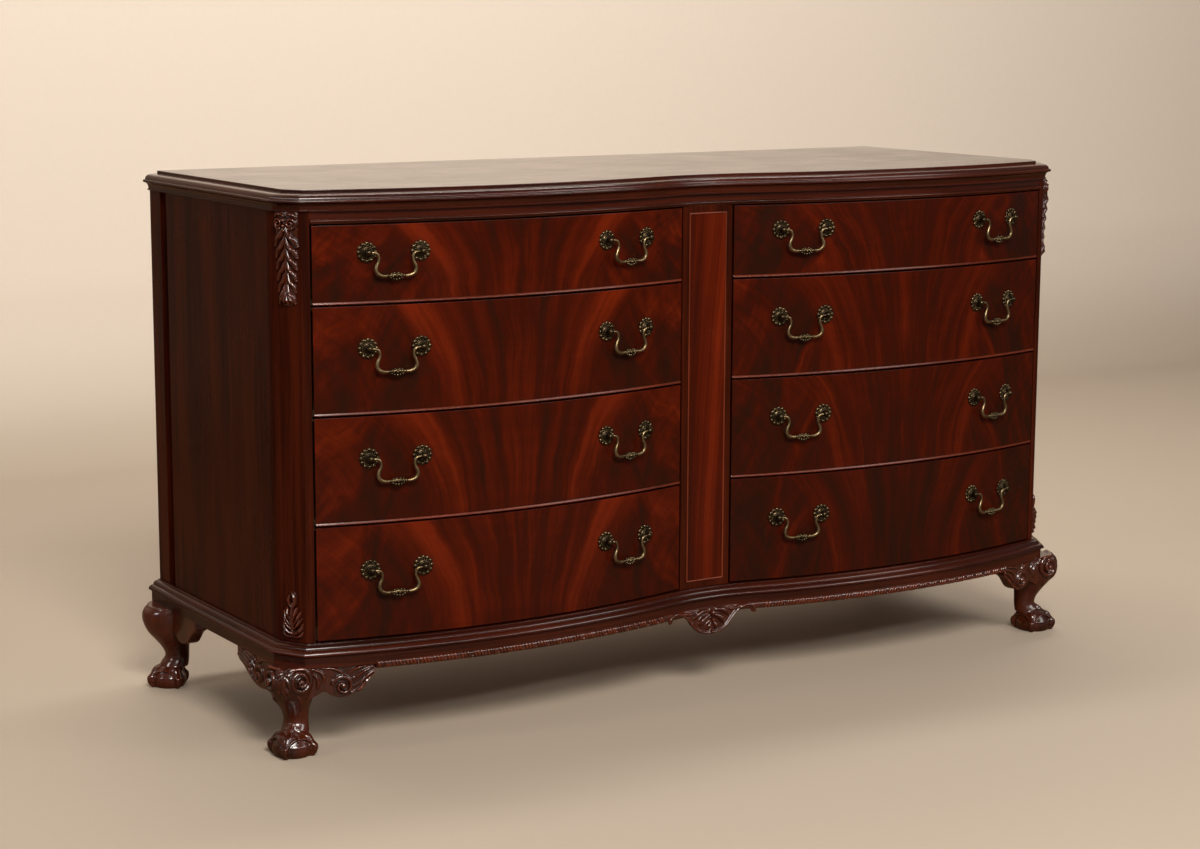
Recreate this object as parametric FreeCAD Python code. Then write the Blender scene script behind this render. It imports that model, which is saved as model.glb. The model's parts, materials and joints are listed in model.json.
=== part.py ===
import FreeCAD, Part
import math
import os

# Double dresser with two bowed banks of four drawers, in millimetres.
# +X runs to the viewer's right, the front faces -Y, and the feet stand on Z = 0.

# Case
case_width = 1569.0         # across the side faces
case_depth = 551.0          # from the line of the drawer ends to the back
bow_swell = 46.0            # rise of each drawer bank in front of its ends
valley_radius = 410.0       # hollow that the mouldings follow between the two bows
cant_front = 25.0           # canted front corner, measured along the front
cant_side = 43.0            # and along the side
post_width = 38.0           # corner post, from the side face to the drawer opening
post_tail = 30.0            # corner post behind the cant
stile_width = 102.0         # upright between the two banks
stile_thickness = 22.0
partition_thickness = 18.0
side_thickness = 18.0
rear_post_depth = 45.0
rear_post_thickness = 30.0
quirk_width = 26.0          # sunk strip between the side panel and the rear post
quirk_depth = 7.0
back_thickness = 6.0
back_inset = 8.0

# Heights
leg_height = 144.0
base_height = 37.5
drawer_heights = {"bottom": 182.0, "lower": 172.0, "upper": 172.0, "top": 124.0}
drawer_gap = 3.0            # round every drawer front
frieze_height = 19.0
cove_height = 13.0
top_thickness = 19.5

# Top board and cornice, measured outwards from the faces of the case
slab_inset = 14.5
slab_edge = 4.5
step_out = 3.0
step_height = 2.0
nose_out = 12.0
nose_lip = 3.0
cove_top_out = 9.0
cove_foot_out = 4.0
cove_fillet = 2.5
frieze_out = 1.0
bead_out = 3.0
bead_height = 3.0
cornice_width = 22.0

# Base moulding, measured outwards from the faces of the case
base_lip_out = 4.0
base_lip_height = 1.5
base_round_out = 13.0
base_round_height = 7.0
base_torus_out = 22.0
base_torus_height = 8.0
base_fascia_out = 16.0
base_cove_height = 5.0
base_rail_width = 45.0
curve_steps = 3             # spans in each moulded curve

# Apron with its rounded edge moulding
apron_reach = 658.0         # half length, between the knee brackets
apron_drop = 7.0
apron_rise = 5.0
apron_bead = 6.0            # projection of the rounded edge
apron_thickness = 14.0

# Drawers
front_thickness = 22.0
front_backing = 1.0         # air between a drawer front and the rails behind it
frame_thickness = 18.0
frame_border = 60.0
dust_panel = 4.0
box_inset = 6.0             # drawer box inside the ends of its front
box_wall = 12.0
box_bottom = 6.0
bottom_groove = 8.0         # drawer bottom above the lower edge of the sides
box_stop = 12.0             # air behind a shut drawer
run_gap = 0.3
kick_gap = 5.0
guide_height = 8.0
guide_width = 9.0
guide_gap = 0.5

# Pulls
pull_offset = 216.5         # pull centre from the middle of its bank
pull_span = 89.0            # between the two posts of a pull
pull_rise = 19.0            # posts above the middle of the drawer front
rosette_radius = 16.0
rosette_petals = 10
rosette_rim = 2.0
post_flare = 8.0            # foot of the post on the rosette
post_flare_height = 4.0
post_radius = 3.4
post_sides = 6
post_reach = 12.0           # pivot line in front of the drawer face
head_radius = 5.0
head_length = 9.0
bail_radius = 2.4
bail_sides = 6
bail_pin_radius = 1.6
bail_pin_length = 4.6
bail_clearance = 0.1        # radial, pin in its hole
bail_end_gap = 0.6
bail_neck = 28.0            # half width at the neck
bail_hip = 33.0             # half width at the foot
bail_drop = 38.0
bail_neck_round = 5.0
bail_hip_round = 9.0
bail_bend_points = 3        # on each rounded corner

# Legs
leg_inset = 10.0            # leg axis inside the side face
rear_leg_side_inset = 2.0
rear_leg_inset = 46.0       # rear leg axis in front of the back
knee_reach = 50.0           # knee in front of the leg axis
knee_half_width = 38.0
stem_sides = 10
stem_height_shares = (1.0, 0.92, 0.83, 0.73, 0.62, 0.51, 0.41, 0.31)
stem_outer_shares = (0.76, 0.95, 1.0, 0.86, 0.64, 0.43, 0.28, 0.38)
stem_inner_shares = (0.64, 0.63, 0.62, 0.59, 0.57, 0.56, 0.56, 0.52)
stem_half_width_shares = (1.0, 1.0, 0.96, 0.86, 0.74, 0.64, 0.58, 0.62)
ball_radius = 33.0
ball_lift = 27.0            # ball centre above the floor
ball_forward = 16.0         # ball centre in front of the leg axis
ball_sides = 12
ball_bands = 6
talon_angles = (50.0, -50.0, 140.0, -140.0)
talon_reach = 45.0          # talon knuckle from the ball centre
talon_top = 56.0
talon_girth = 10.0
talon_sides = 5
talon_reach_shares = (0.32, 0.74, 0.96, 0.98, 0.88)
talon_height_shares = (1.0, 0.86, 0.58, 0.26, 0.0)
talon_girth_shares = (0.95, 1.0, 0.92, 0.68, 0.36)
rear_ball_forward = 12.0    # the rear feet are drawn in under the case
rear_heel_share = 0.7
bracket_front_length = 116.0
bracket_side_length = 140.0
bracket_drop = 54.0
bracket_tip = 8.0
bracket_thickness = 22.0
bracket_out = 14.0
bracket_scroll_share = 0.49
bracket_scroll_depth_share = 0.98
bracket_neck_share = 0.69
bracket_neck_depth_share = 0.62
bracket_root_share = 0.30
bracket_root_depth_share = 0.76
bracket_sweep_share = 0.84
bracket_sweep_depth_share = 0.33

# Carved ornaments, as the blanks that the carving is cut from
console_height = 146.0
console_width = 46.0
console_swell = 24.0
console_height_shares = (0.0, 0.09, 0.21, 0.43, 0.72, 0.84, 1.0)
console_width_shares = (0.44, 0.64, 0.62, 0.78, 0.96, 1.0, 0.94)
console_swell_shares = (0.12, 0.54, 0.34, 0.48, 0.90, 1.0, 0.36)
blank_facets = 8            # round the front of each corner blank
palmette_height = 77.0
palmette_width = 40.0
palmette_swell = 15.0
palmette_lift = 8.0         # above the base moulding
palmette_height_shares = (0.0, 0.22, 0.55, 1.0)
palmette_width_shares = (0.88, 1.0, 0.84, 0.16)
palmette_swell_shares = (0.80, 1.0, 0.76, 0.20)
shell_half_width = 88.0
shell_drop = 48.0
shell_thickness = 20.0      # in the middle, in front of the apron
shell_shoulder_share = 0.62
shell_shoulder_depth_share = 0.42
shell_waist_share = 0.86
shell_waist_depth_share = 0.16
panel_bead_inset = 12.0     # bead that frames the stile
panel_bead_width = 2.5
panel_bead_rise = 1.2

# Worked out from the sizes above
half_width = case_width / 2
overall_depth = case_depth + bow_swell + base_torus_out
back_y = overall_depth / 2
face_y = back_y - case_depth
base_top = leg_height + base_height
stack_height = sum(drawer_heights.values()) + drawer_gap * (len(drawer_heights) + 1)
frieze_bottom = base_top + stack_height
frieze_top = frieze_bottom + frieze_height
top_bottom = frieze_top + cove_height
top_z = top_bottom + top_thickness
opening_inner = stile_width / 2
opening_outer = half_width - post_width
bank_x = (opening_inner + opening_outer) / 2
half_chord = (opening_outer - opening_inner) / 2
bow_radius = (half_chord ** 2 + bow_swell ** 2) / (2 * bow_swell)
bow_y = face_y - bow_swell + bow_radius
bow_centre = FreeCAD.Vector(bank_x, bow_y, 0)
valley_y = bow_y - math.sqrt((bow_radius + valley_radius) ** 2 - bank_x ** 2)
back_panel_y = back_y - back_inset - back_thickness
post_y = bow_y - math.sqrt(bow_radius ** 2 - (half_width - cant_front - bank_x) ** 2)
post_back_y = post_y + cant_side + post_tail
upwards = FreeCAD.Vector(0, 0, 1)


def vec(x, y, z=0):
    return FreeCAD.Vector(x, y, z)


def line(start, end):
    return Part.LineSegment(start, end).toShape()


def arc(start, middle, end):
    return Part.Arc(start, middle, end).toShape()


def box(x_span, y_span, z_span):
    size = [span[1] - span[0] for span in (x_span, y_span, z_span)]
    return Part.makeBox(*size, vec(x_span[0], y_span[0], z_span[0]))


def fuse(shapes):
    whole = shapes[0].multiFuse(shapes[1:])
    return whole.removeSplitter()


def mirrored(shape):
    return shape.mirror(vec(0, 0), vec(1, 0))


def prism(edges, height):
    return Part.Face(Part.Wire(edges)).extrude(upwards * height)


def ring(centre, first, second, sides):
    # points evenly round the ellipse with two given half axes
    turns = [2 * math.pi * (k + 1 / 2) / sides for k in range(sides)]
    return [centre + first * math.cos(a) + second * math.sin(a) for a in turns]


def skin(rings):
    # closed solid of flat facets, lofted through rings with as many points each
    outlines = [rings[0], rings[-1]]
    for low, high in zip(rings, rings[1:]):
        for k in range(len(low)):
            outlines += [[low[k - 1], low[k], high[k]], [low[k - 1], high[k], high[k - 1]]]
    faces = [Part.Face(Part.makePolygon(points + points[:1])) for points in outlines]
    return Part.makeSolid(Part.makeShell(faces)).removeSplitter()


def faceted(root, across, upright, sides, levels):
    # polygonal turning, given as radius and distance from the root
    axis = across.cross(upright)
    return skin([ring(root + axis * reach, across * r, upright * r, sides) for r, reach in levels])


# Plan of the case and its mouldings

def bow_at(x, out):
    # y of the right-hand bow, moved outwards
    return bow_y - math.sqrt((bow_radius + out) ** 2 - (x - bank_x) ** 2)


def cant_corners(out):
    # where the right-hand cant, moved outwards, meets the bow and the side
    along = vec(cant_front, cant_side).normalize()
    outward = vec(along.y, -along.x)
    start = vec(half_width - cant_front, post_y) + outward * out
    side_hit = start + along * ((half_width + out - start.x) / along.x)
    to_centre = bow_centre - start
    half_way = along.dot(to_centre)
    reach = half_way ** 2 - to_centre.dot(to_centre) + (bow_radius + out) ** 2
    return start + along * (half_way - math.sqrt(reach)), side_hit


def plan_wire(out, z, rear=back_y):
    # serpentine outline at a distance outwards from the faces of the case
    bow_hit, side_hit = cant_corners(out)
    share = (valley_radius - out) / (bow_radius + valley_radius)
    tangent = vec(bank_x * share, valley_y + (bow_y - valley_y) * share)
    middle_x = (bow_hit.x + tangent.x) / 2
    right = [vec(half_width + out, rear, z), vec(side_hit.x, side_hit.y, z)]
    right += [vec(bow_hit.x, bow_hit.y, z), vec(tangent.x, tangent.y, z)]
    left = [vec(-p.x, p.y, z) for p in right]
    crest = vec(middle_x, bow_at(middle_x, out), z)
    valley = vec(0, valley_y + valley_radius - out, z)
    edges = [line(right[0], right[1]), line(right[1], right[2])]
    edges += [arc(right[2], crest, right[3]), arc(right[3], valley, left[3])]
    edges += [arc(left[3], vec(-crest.x, crest.y, z), left[2])]
    edges += [line(left[2], left[1]), line(left[1], left[0]), line(left[0], right[0])]
    return Part.Wire(edges)


def layer(out, z_from, z_to, rear=back_y):
    return Part.Face(plan_wire(out, z_from, rear)).extrude(upwards * (z_to - z_from))


def moulded(centre_out, centre_z, reach_out, reach_z):
    # quarter round or cove, lofted through outlines of the plan
    turns = [math.radians(90 * k / curve_steps) for k in range(curve_steps + 1)]
    levels = [(centre_out + reach_out * math.cos(a), centre_z + reach_z * math.sin(a)) for a in turns]
    return Part.makeLoft([plan_wire(out, z) for out, z in levels], True, True)


def top_panel():
    slab_bottom = top_z - slab_edge
    step_bottom = slab_bottom - step_height
    nose_top = top_bottom + nose_lip
    step_edge = step_out - slab_inset
    ovolo = moulded(step_edge, nose_top, nose_out - step_edge, step_bottom - nose_top)
    slab = layer(-slab_inset, slab_bottom, top_z)
    step = layer(step_edge, step_bottom, slab_bottom)
    lip = layer(nose_out, top_bottom, nose_top)
    return fuse([lip, ovolo, step, slab])


def cornice_moulding():
    fillet_top = frieze_top + cove_fillet
    cove_drop = top_bottom - fillet_top
    cove = moulded(cove_top_out, fillet_top, cove_foot_out - cove_top_out, cove_drop)
    fillet = layer(cove_foot_out, frieze_top, fillet_top)
    frieze = layer(frieze_out, frieze_bottom, frieze_top)
    bead = layer(bead_out, frieze_bottom, frieze_bottom + bead_height)
    return fuse([bead, frieze, fillet, cove]).cut(layer(-cornice_width, frieze_bottom, top_bottom))


def base_moulding():
    lip_bottom = base_top - base_lip_height
    round_bottom = lip_bottom - base_round_height
    torus_bottom = round_bottom - base_torus_height
    cove_bottom = torus_bottom - base_cove_height
    torus_drop = round_bottom - torus_bottom
    pieces = [layer(base_lip_out, lip_bottom, base_top)]
    pieces += [moulded(base_lip_out, round_bottom, base_round_out - base_lip_out, base_round_height)]
    pieces += [moulded(base_round_out, torus_bottom, base_torus_out - base_round_out, torus_drop)]
    pieces += [moulded(base_torus_out, cove_bottom, base_fascia_out - base_torus_out, base_cove_height)]
    pieces += [layer(base_fascia_out, leg_height, cove_bottom)]
    hollow = layer(-base_rail_width, leg_height, base_top, back_y - base_rail_width)
    return fuse(pieces).cut(hollow)


def apron():
    # strip under the base moulding, and its rounded edge in front
    low = leg_height - apron_drop
    high = leg_height + apron_rise
    span_y = (-back_y - apron_bead, 0)
    limits = box((-apron_reach, apron_reach), span_y, (low, high))
    shell_room = box((-shell_half_width, shell_half_width), span_y, (low, high))
    inner = base_fascia_out - apron_thickness
    strip = layer(base_fascia_out, low, leg_height).cut(layer(inner, low, leg_height))
    half_rise = (high - low) / 2
    lower = moulded(base_fascia_out, high - half_rise, apron_bead, -half_rise)
    upper = moulded(base_fascia_out, high - half_rise, apron_bead, half_rise)
    edge = fuse([lower, upper]).cut(layer(base_fascia_out, low, high))
    return [strip.common(limits), edge.common(limits).cut(shell_room)]


# Case

def corner_post():
    bow_hit, side_hit = cant_corners(0)
    corner = vec(opening_outer, bow_at(opening_outer, 0))
    outline = [corner, bow_hit, side_hit, vec(half_width, post_back_y)]
    outline += [vec(opening_outer, post_back_y), corner]
    body = prism(Part.makePolygon(outline).Edges, frieze_bottom - base_top)
    body.translate(upwards * base_top)
    return body


def rear_post():
    inner = half_width - rear_post_thickness
    return box((inner, half_width), (back_y - rear_post_depth, back_y), (base_top, frieze_bottom))


def side_panel():
    rear = back_y - rear_post_depth
    heights = (base_top, frieze_bottom)
    plate = box((half_width - side_thickness, half_width), (post_back_y, rear), heights)
    quirk = box((half_width - quirk_depth, half_width), (rear - quirk_width, rear), heights)
    return plate.cut(quirk)


def center_stile():
    body_y = (face_y, face_y + stile_thickness)
    body = box((-stile_width / 2, stile_width / 2), body_y, (base_top, frieze_bottom))
    outer = stile_width / 2 - panel_bead_inset
    inner = outer - panel_bead_width
    rise_y = (face_y - panel_bead_rise, face_y)
    low = base_top + panel_bead_inset
    high = frieze_bottom - panel_bead_inset
    inside_z = (low + panel_bead_width, high - panel_bead_width)
    bead = box((-outer, outer), rise_y, (low, high)).cut(box((-inner, inner), rise_y, inside_z))
    return fuse([body, bead])


def center_partition():
    half = partition_thickness / 2
    board = box((-half, half), (face_y + stile_thickness, back_panel_y), (base_top, top_bottom))
    return board.cut(cornice_moulding())


def back_panel():
    half = half_width - rear_post_thickness
    return box((-half, half), (back_panel_y, back_y - back_inset), (base_top, top_bottom))


def behind_bow(out, x_from, x_to, z_from, z_to):
    # everything between the right-hand bow, moved outwards, and the back panel
    middle = (x_from + x_to) / 2
    ends = [vec(x, bow_at(x, out), z_from) for x in (x_from, middle, x_to)]
    rear = [vec(x, back_panel_y, z_from) for x in (x_to, x_from)]
    edges = [arc(*ends), line(ends[2], rear[0]), line(rear[0], rear[1]), line(rear[1], ends[0])]
    return prism(edges, z_to - z_from)


def drawer_frame(z):
    # rails, runners and dust panel under one drawer
    x_from = partition_thickness / 2
    x_to = half_width - side_thickness
    rail_out = -front_thickness - front_backing
    top = z + frame_thickness
    plate = behind_bow(rail_out, x_from, x_to, z, top)
    window_x = (x_from + frame_border, x_to - frame_border)
    window_y = (face_y + front_thickness + frame_border, back_panel_y - frame_border)
    sunk = (frame_thickness - dust_panel) / 2
    pockets = [box(window_x, window_y, (z, z + sunk)), box(window_x, window_y, (top - sunk, top))]
    solids = [corner_post(), center_stile(), rear_post(), cornice_moulding()]
    return plate.cut(Part.makeCompound(pockets + solids))


def drawer_guides(z):
    # strips that keep a drawer box straight, on the frame under it
    low = z + frame_thickness
    inner_face = opening_inner + drawer_gap + box_inset - guide_gap
    outer_face = opening_outer - drawer_gap - box_inset + guide_gap
    span_y = (post_back_y, back_panel_y)
    span_z = (low, low + guide_height)
    spans = ((inner_face - guide_width, inner_face), (outer_face, outer_face + guide_width))
    return [box(span, span_y, span_z) for span in spans]


def pair(shapes):
    return shapes + [mirrored(s) for s in shapes]


# Drawers

def drawer_front(z, height):
    x_from = opening_inner + drawer_gap
    x_to = opening_outer - drawer_gap
    middle = (x_from + x_to) / 2
    outer = [vec(x, bow_at(x, 0), z) for x in (x_from, middle, x_to)]
    inner = [vec(x, bow_at(x, -front_thickness), z) for x in (x_to, middle, x_from)]
    edges = [arc(*outer), line(outer[2], inner[0]), arc(*inner), line(inner[2], outer[0])]
    return prism(edges, height)


def drawer_box(low, high):
    # two sides, a back and a bottom behind the bowed front
    left = opening_inner + drawer_gap + box_inset
    right = opening_outer - drawer_gap - box_inset
    rear = back_panel_y - box_stop
    room = behind_bow(-front_thickness, left, right, low, high)
    span_y = (face_y - bow_swell, rear)
    spans = ((left, left + box_wall), (right - box_wall, right))
    sides = [box(span, span_y, (low, high)) for span in spans]
    inside = (left + box_wall, right - box_wall)
    back = box(inside, (rear - box_wall, rear), (low, high))
    floor = low + bottom_groove
    bottom = box(inside, (face_y - bow_swell, rear - box_wall), (floor, floor + box_bottom))
    return [piece.common(room) for piece in sides + [back, bottom]]


# Pulls

def bow_frame(angle, out):
    # point and outward direction on the right-hand bow
    outward = vec(math.sin(angle), -math.cos(angle))
    return bow_centre + outward * (bow_radius + out), outward


def pull_angles(pull_sign):
    middle = math.asin(pull_sign * pull_offset / bow_radius)
    spread = math.asin(pull_span / 2 / (bow_radius + post_reach))
    return middle, spread


def pull_axes(pull_sign, z):
    # pivot centre, direction along the pivot line and outward direction of one pull
    middle, spread = pull_angles(pull_sign)
    ends = [bow_frame(middle + sign * spread, post_reach)[0] for sign in (-1, 1)]
    centre = (ends[0] + ends[1]) * (1 / 2)
    return vec(centre.x, centre.y, z), (ends[1] - ends[0]).normalize(), bow_frame(middle, 0)[1]


def rosette(pull_sign, end_sign, z):
    # petalled plate, post and drilled head on a line square to the drawer front
    middle, spread = pull_angles(pull_sign)
    root, outward = bow_frame(middle + end_sign * spread, 0)
    frame = (vec(root.x, root.y, z), upwards.cross(outward), upwards)
    head_start = post_reach - head_length / 2
    head_end = post_reach + head_length / 2
    plate = faceted(*frame, rosette_petals, [(rosette_radius, 0), (rosette_radius, rosette_rim)])
    levels = [(post_flare, rosette_rim), (post_radius, post_flare_height)]
    levels += [(head_radius, head_start), (head_radius, head_end)]
    solid = fuse([plate, faceted(*frame, post_sides, levels)])
    centre, along, _ = pull_axes(pull_sign, z)
    pivot = centre + along * (end_sign * pull_span / 2)
    inward = along * -end_sign
    bore = (bail_pin_radius + bail_clearance) / math.cos(math.pi / post_sides)
    hole_levels = [(bore, 0), (bore, 2 * head_radius)]
    return solid.cut(faceted(pivot, upwards, inward.cross(upwards), post_sides, hole_levels))


def rounded_route(points, radii):
    # straight runs joined by tangent arcs at the inner points
    route = [points[0]]
    for before, corner, after, radius in zip(points, points[1:], points[2:], radii):
        back = (before - corner).normalize()
        ahead = (after - corner).normalize()
        half_turn = back.getAngle(ahead) / 2
        enter = corner + back * (radius / math.tan(half_turn))
        leave = corner + ahead * (radius / math.tan(half_turn))
        bisector = (back + ahead).normalize()
        nearest = corner + bisector * (radius / math.sin(half_turn) - radius)
        route += Part.Arc(enter, nearest, leave).discretize(bail_bend_points)
    return route + [points[-1]]


def tube(points, flat_axis, girths, sides):
    # ruled skin along a route that lies square to one axis
    rings = []
    for k, point in enumerate(points):
        heading = (points[min(k + 1, len(points) - 1)] - points[max(k - 1, 0)]).normalize()
        rings.append(ring(point, flat_axis * girths[k], heading.cross(flat_axis) * girths[k], sides))
    return skin(rings)


def bail(pull_sign, z):
    # swan-neck handle hanging between two posts, with a pin at each end
    centre, along, outward = pull_axes(pull_sign, z)
    end = pull_span / 2 - head_radius - bail_end_gap
    half = [(end, 0), (bail_neck, 0), (bail_hip, -bail_drop)]
    outline = half + [(-a, h) for a, h in reversed(half)]
    rounds = (bail_neck_round, bail_hip_round, bail_hip_round, bail_neck_round)
    points = rounded_route([centre + along * a + upwards * h for a, h in outline], rounds)
    rod = tube(points, outward, [bail_radius] * len(points), bail_sides)
    pins = []
    for sign in (-1, 1):
        heading = along * sign
        pins.append(Part.makeCylinder(bail_pin_radius, bail_pin_length, centre + heading * end, heading))
    return fuse([rod] + pins)


# Legs

def leg_stem(axis, ahead):
    # cabriole leg, lofted from the knee to the ankle
    across = upwards.cross(ahead)
    rings = []
    rows = zip(stem_height_shares, stem_outer_shares, stem_inner_shares, stem_half_width_shares)
    for height, outer, inner, wide in rows:
        reach = knee_reach * (outer + inner) / 2
        centre = axis + ahead * (knee_reach * (outer - inner) / 2) + upwards * (leg_height * height)
        rings.append(ring(centre, ahead * reach, across * (knee_half_width * wide), stem_sides))
    return skin(rings)


def ball(centre, ahead):
    # ball with its lower cap cut flat on the floor
    tilt = math.asin(ball_lift / ball_radius)
    turns = [tilt * (2 * k / ball_bands - 1) for k in range(ball_bands + 1)]
    levels = [(ball_radius * math.cos(a), ball_lift + ball_radius * math.sin(a)) for a in turns]
    return faceted(centre, ahead, upwards.cross(ahead), ball_sides, levels)


def talon(centre, ahead, reach):
    # claw that comes down over the ball
    reaches = [reach * share for share in talon_reach_shares]
    heights = [talon_top * share for share in talon_height_shares]
    points = [centre + ahead * r + upwards * h for r, h in zip(reaches, heights)]
    girths = [talon_girth * share for share in talon_girth_shares]
    return tube(points, upwards.cross(ahead), girths, talon_sides)


def claw_foot(axis, ahead, forward, heel_share):
    centre = axis + ahead * forward
    under = 2 * talon_reach
    below_floor = Part.makeBox(2 * under, 2 * under, under, centre - vec(under, under, under))
    pieces = [ball(centre, ahead)]
    for angle in talon_angles:
        heading = FreeCAD.Rotation(upwards, angle).multVec(ahead)
        reach = talon_reach if heading.dot(ahead) > 0 else talon_reach * heel_share
        pieces.append(talon(centre, heading, reach).cut(below_floor))
    return pieces


def bracket(start, heading, outward, length):
    # scrolled block beside the knee, under the base moulding
    def place(run_share, depth):
        return start + heading * (length * run_share) + upwards * (leg_height - depth)

    root = place(0, bracket_drop)
    neck = place(bracket_root_share, bracket_drop * bracket_root_depth_share)
    scroll = place(bracket_scroll_share, bracket_drop * bracket_scroll_depth_share)
    end = place(bracket_neck_share, bracket_drop * bracket_neck_depth_share)
    sweep = place(bracket_sweep_share, bracket_drop * bracket_sweep_depth_share)
    tip = place(1, bracket_tip)
    edges = [line(place(0, 0), root), line(root, neck), arc(neck, scroll, end), arc(end, sweep, tip)]
    edges += [line(tip, place(1, 0)), line(place(1, 0), place(0, 0))]
    return Part.Face(Part.Wire(edges)).extrude(outward * -bracket_thickness)


def front_leg():
    bow_hit, side_hit = cant_corners(0)
    axis = vec(half_width - leg_inset, (bow_hit.y + side_hit.y) / 2)
    ahead = vec(1, -1).normalize()
    leg = fuse([leg_stem(axis, ahead)] + claw_foot(axis, ahead, ball_forward, 1))
    angle = math.asin((axis.x - bracket_front_length / 2 - bank_x) / bow_radius)
    out_front = vec(math.sin(angle), -math.cos(angle))
    front_start = vec(axis.x, bow_at(axis.x, 0)) + out_front * bracket_out
    along_front = vec(-math.cos(angle), -math.sin(angle))
    side_start = vec(half_width + bracket_out, axis.y)
    front = bracket(front_start, along_front, out_front, bracket_front_length)
    side = bracket(side_start, vec(0, 1), vec(1, 0), bracket_side_length)
    return [leg, front.cut(leg), side.cut(leg)]


def rear_leg():
    axis = vec(half_width - rear_leg_side_inset, back_y - rear_leg_inset)
    ahead = vec(1, 0)
    leg = fuse([leg_stem(axis, ahead)] + claw_foot(axis, ahead, rear_ball_forward, rear_heel_share))
    start = vec(half_width + bracket_out, axis.y)
    return [leg, bracket(start, vec(0, -1), vec(1, 0), bracket_side_length).cut(leg)]


# Carved ornaments

def corner_blank(z, height, width, swell, shares):
    # half-round blank on the canted corner, lofted upwards
    bow_hit, side_hit = cant_corners(0)
    along = (side_hit - bow_hit).normalize()
    outward = vec(along.y, -along.x)
    middle = (bow_hit + side_hit) * (1 / 2)
    turns = [math.pi * k / blank_facets for k in range(blank_facets + 1)]
    rings = []
    for height_share, width_share, swell_share in zip(*shares):
        centre = middle + upwards * (z + height * height_share)
        side = along * (width * width_share / 2)
        crown = outward * (swell * swell_share)
        rings.append([centre + side * math.cos(a) + crown * math.sin(a) for a in turns])
    return skin(rings)


def shell_blank():
    # cartouche on the middle of the apron, hollowed to its curve behind
    front = valley_y + valley_radius - base_fascia_out - shell_thickness
    top = leg_height + apron_rise

    def place(run_share, depth_share):
        return vec(shell_half_width * run_share, front, top - shell_drop * depth_share)

    def run(sign):
        shoulder = place(sign * shell_shoulder_share, shell_shoulder_depth_share)
        waist = place(sign * shell_waist_share, shell_waist_depth_share)
        return shoulder, waist, place(sign, 0)

    right = run(1)
    left = run(-1)
    low = place(0, 1)
    edges = [line(left[2], right[2]), arc(right[2], right[1], right[0]), line(right[0], low)]
    edges += [line(low, left[0]), arc(left[0], left[1], left[2])]
    block = Part.Face(Part.Wire(edges)).extrude(vec(0, 2 * shell_thickness))
    return block.cut(layer(base_fascia_out, top - shell_drop, top))


def ornaments():
    console_shares = (console_height_shares, console_width_shares, console_swell_shares)
    palmette_shares = (palmette_height_shares, palmette_width_shares, palmette_swell_shares)
    console_z = frieze_top - console_height
    palmette_z = base_top + palmette_lift
    right = [corner_blank(console_z, console_height, console_width, console_swell, console_shares)]
    right += [corner_blank(palmette_z, palmette_height, palmette_width, palmette_swell, palmette_shares)]
    right[0] = right[0].cut(cornice_moulding())
    return pair(right) + [shell_blank()]


# Assembly

def add(name, shapes):
    solids = []
    for shape in shapes:
        solids += shape.Solids
    nodes[name] = Part.makeCompound(solids)


def add_drawer(row, z, height, frame_top, frame_above):
    # one drawer of each bank, the left one mirrored from the right
    front = [drawer_front(z, height)]
    body = drawer_box(frame_top + run_gap, frame_above - kick_gap)
    pivot_z = z + height / 2 + pull_rise
    pulls = [rosette(pull, end, pivot_z) for pull in (-1, 1) for end in (-1, 1)]
    bails = {"inner": bail(-1, pivot_z), "outer": bail(1, pivot_z)}
    for bank in ("left", "right"):
        turn = mirrored if bank == "left" else Part.Shape.copy
        add(f"{bank}_{row}_drawer_front", [turn(s) for s in front])
        add(f"{bank}_{row}_drawer_box", [turn(s) for s in body])
        add(f"{bank}_{row}_drawer_pulls", [turn(s) for s in pulls])
        for place, shape in bails.items():
            add(f"{bank}_{row}_{place}_bail", [turn(shape)])


nodes = {}
add("top_panel", [top_panel()])
top_frame_z = frieze_bottom - (drawer_gap + frame_thickness) / 2
add("cornice_frame", [cornice_moulding()] + pair([drawer_frame(top_frame_z)]))
add("right_side_panel", [side_panel(), rear_post()])
add("left_side_panel", [mirrored(side_panel()), mirrored(rear_post())])
add("right_corner_post", [corner_post()])
add("left_corner_post", [mirrored(corner_post())])
add("center_stile", [center_stile()])
add("center_partition", [center_partition()])
add("back_panel", [back_panel()])
add("base_moulding", [base_moulding()])
add("gadroon_apron", apron())
add("front_right_leg", front_leg())
add("front_left_leg", [mirrored(s) for s in front_leg()])
add("rear_right_leg", rear_leg())
add("rear_left_leg", [mirrored(s) for s in rear_leg()])
add("carved_ornaments", ornaments())

frame_z = base_top
front_z = base_top + drawer_gap
for row, height in drawer_heights.items():
    add(f"{row}_drawer_frame", pair([drawer_frame(frame_z)] + drawer_guides(frame_z)))
    next_frame_z = front_z + height + (drawer_gap - frame_thickness) / 2
    add_drawer(row, front_z, height, frame_z + frame_thickness, next_frame_z)
    frame_z = next_frame_z
    front_z += height + drawer_gap

os.makedirs("parts", exist_ok=True)
for name, shape in nodes.items():
    shape.exportStep(f"parts/{name}.step")
print(len(nodes), "nodes,", sum(len(shape.Solids) for shape in nodes.values()), "solids")
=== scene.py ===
import json
import math

import bmesh
import bpy
import numpy as np
from mathutils import Matrix, Vector


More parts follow.
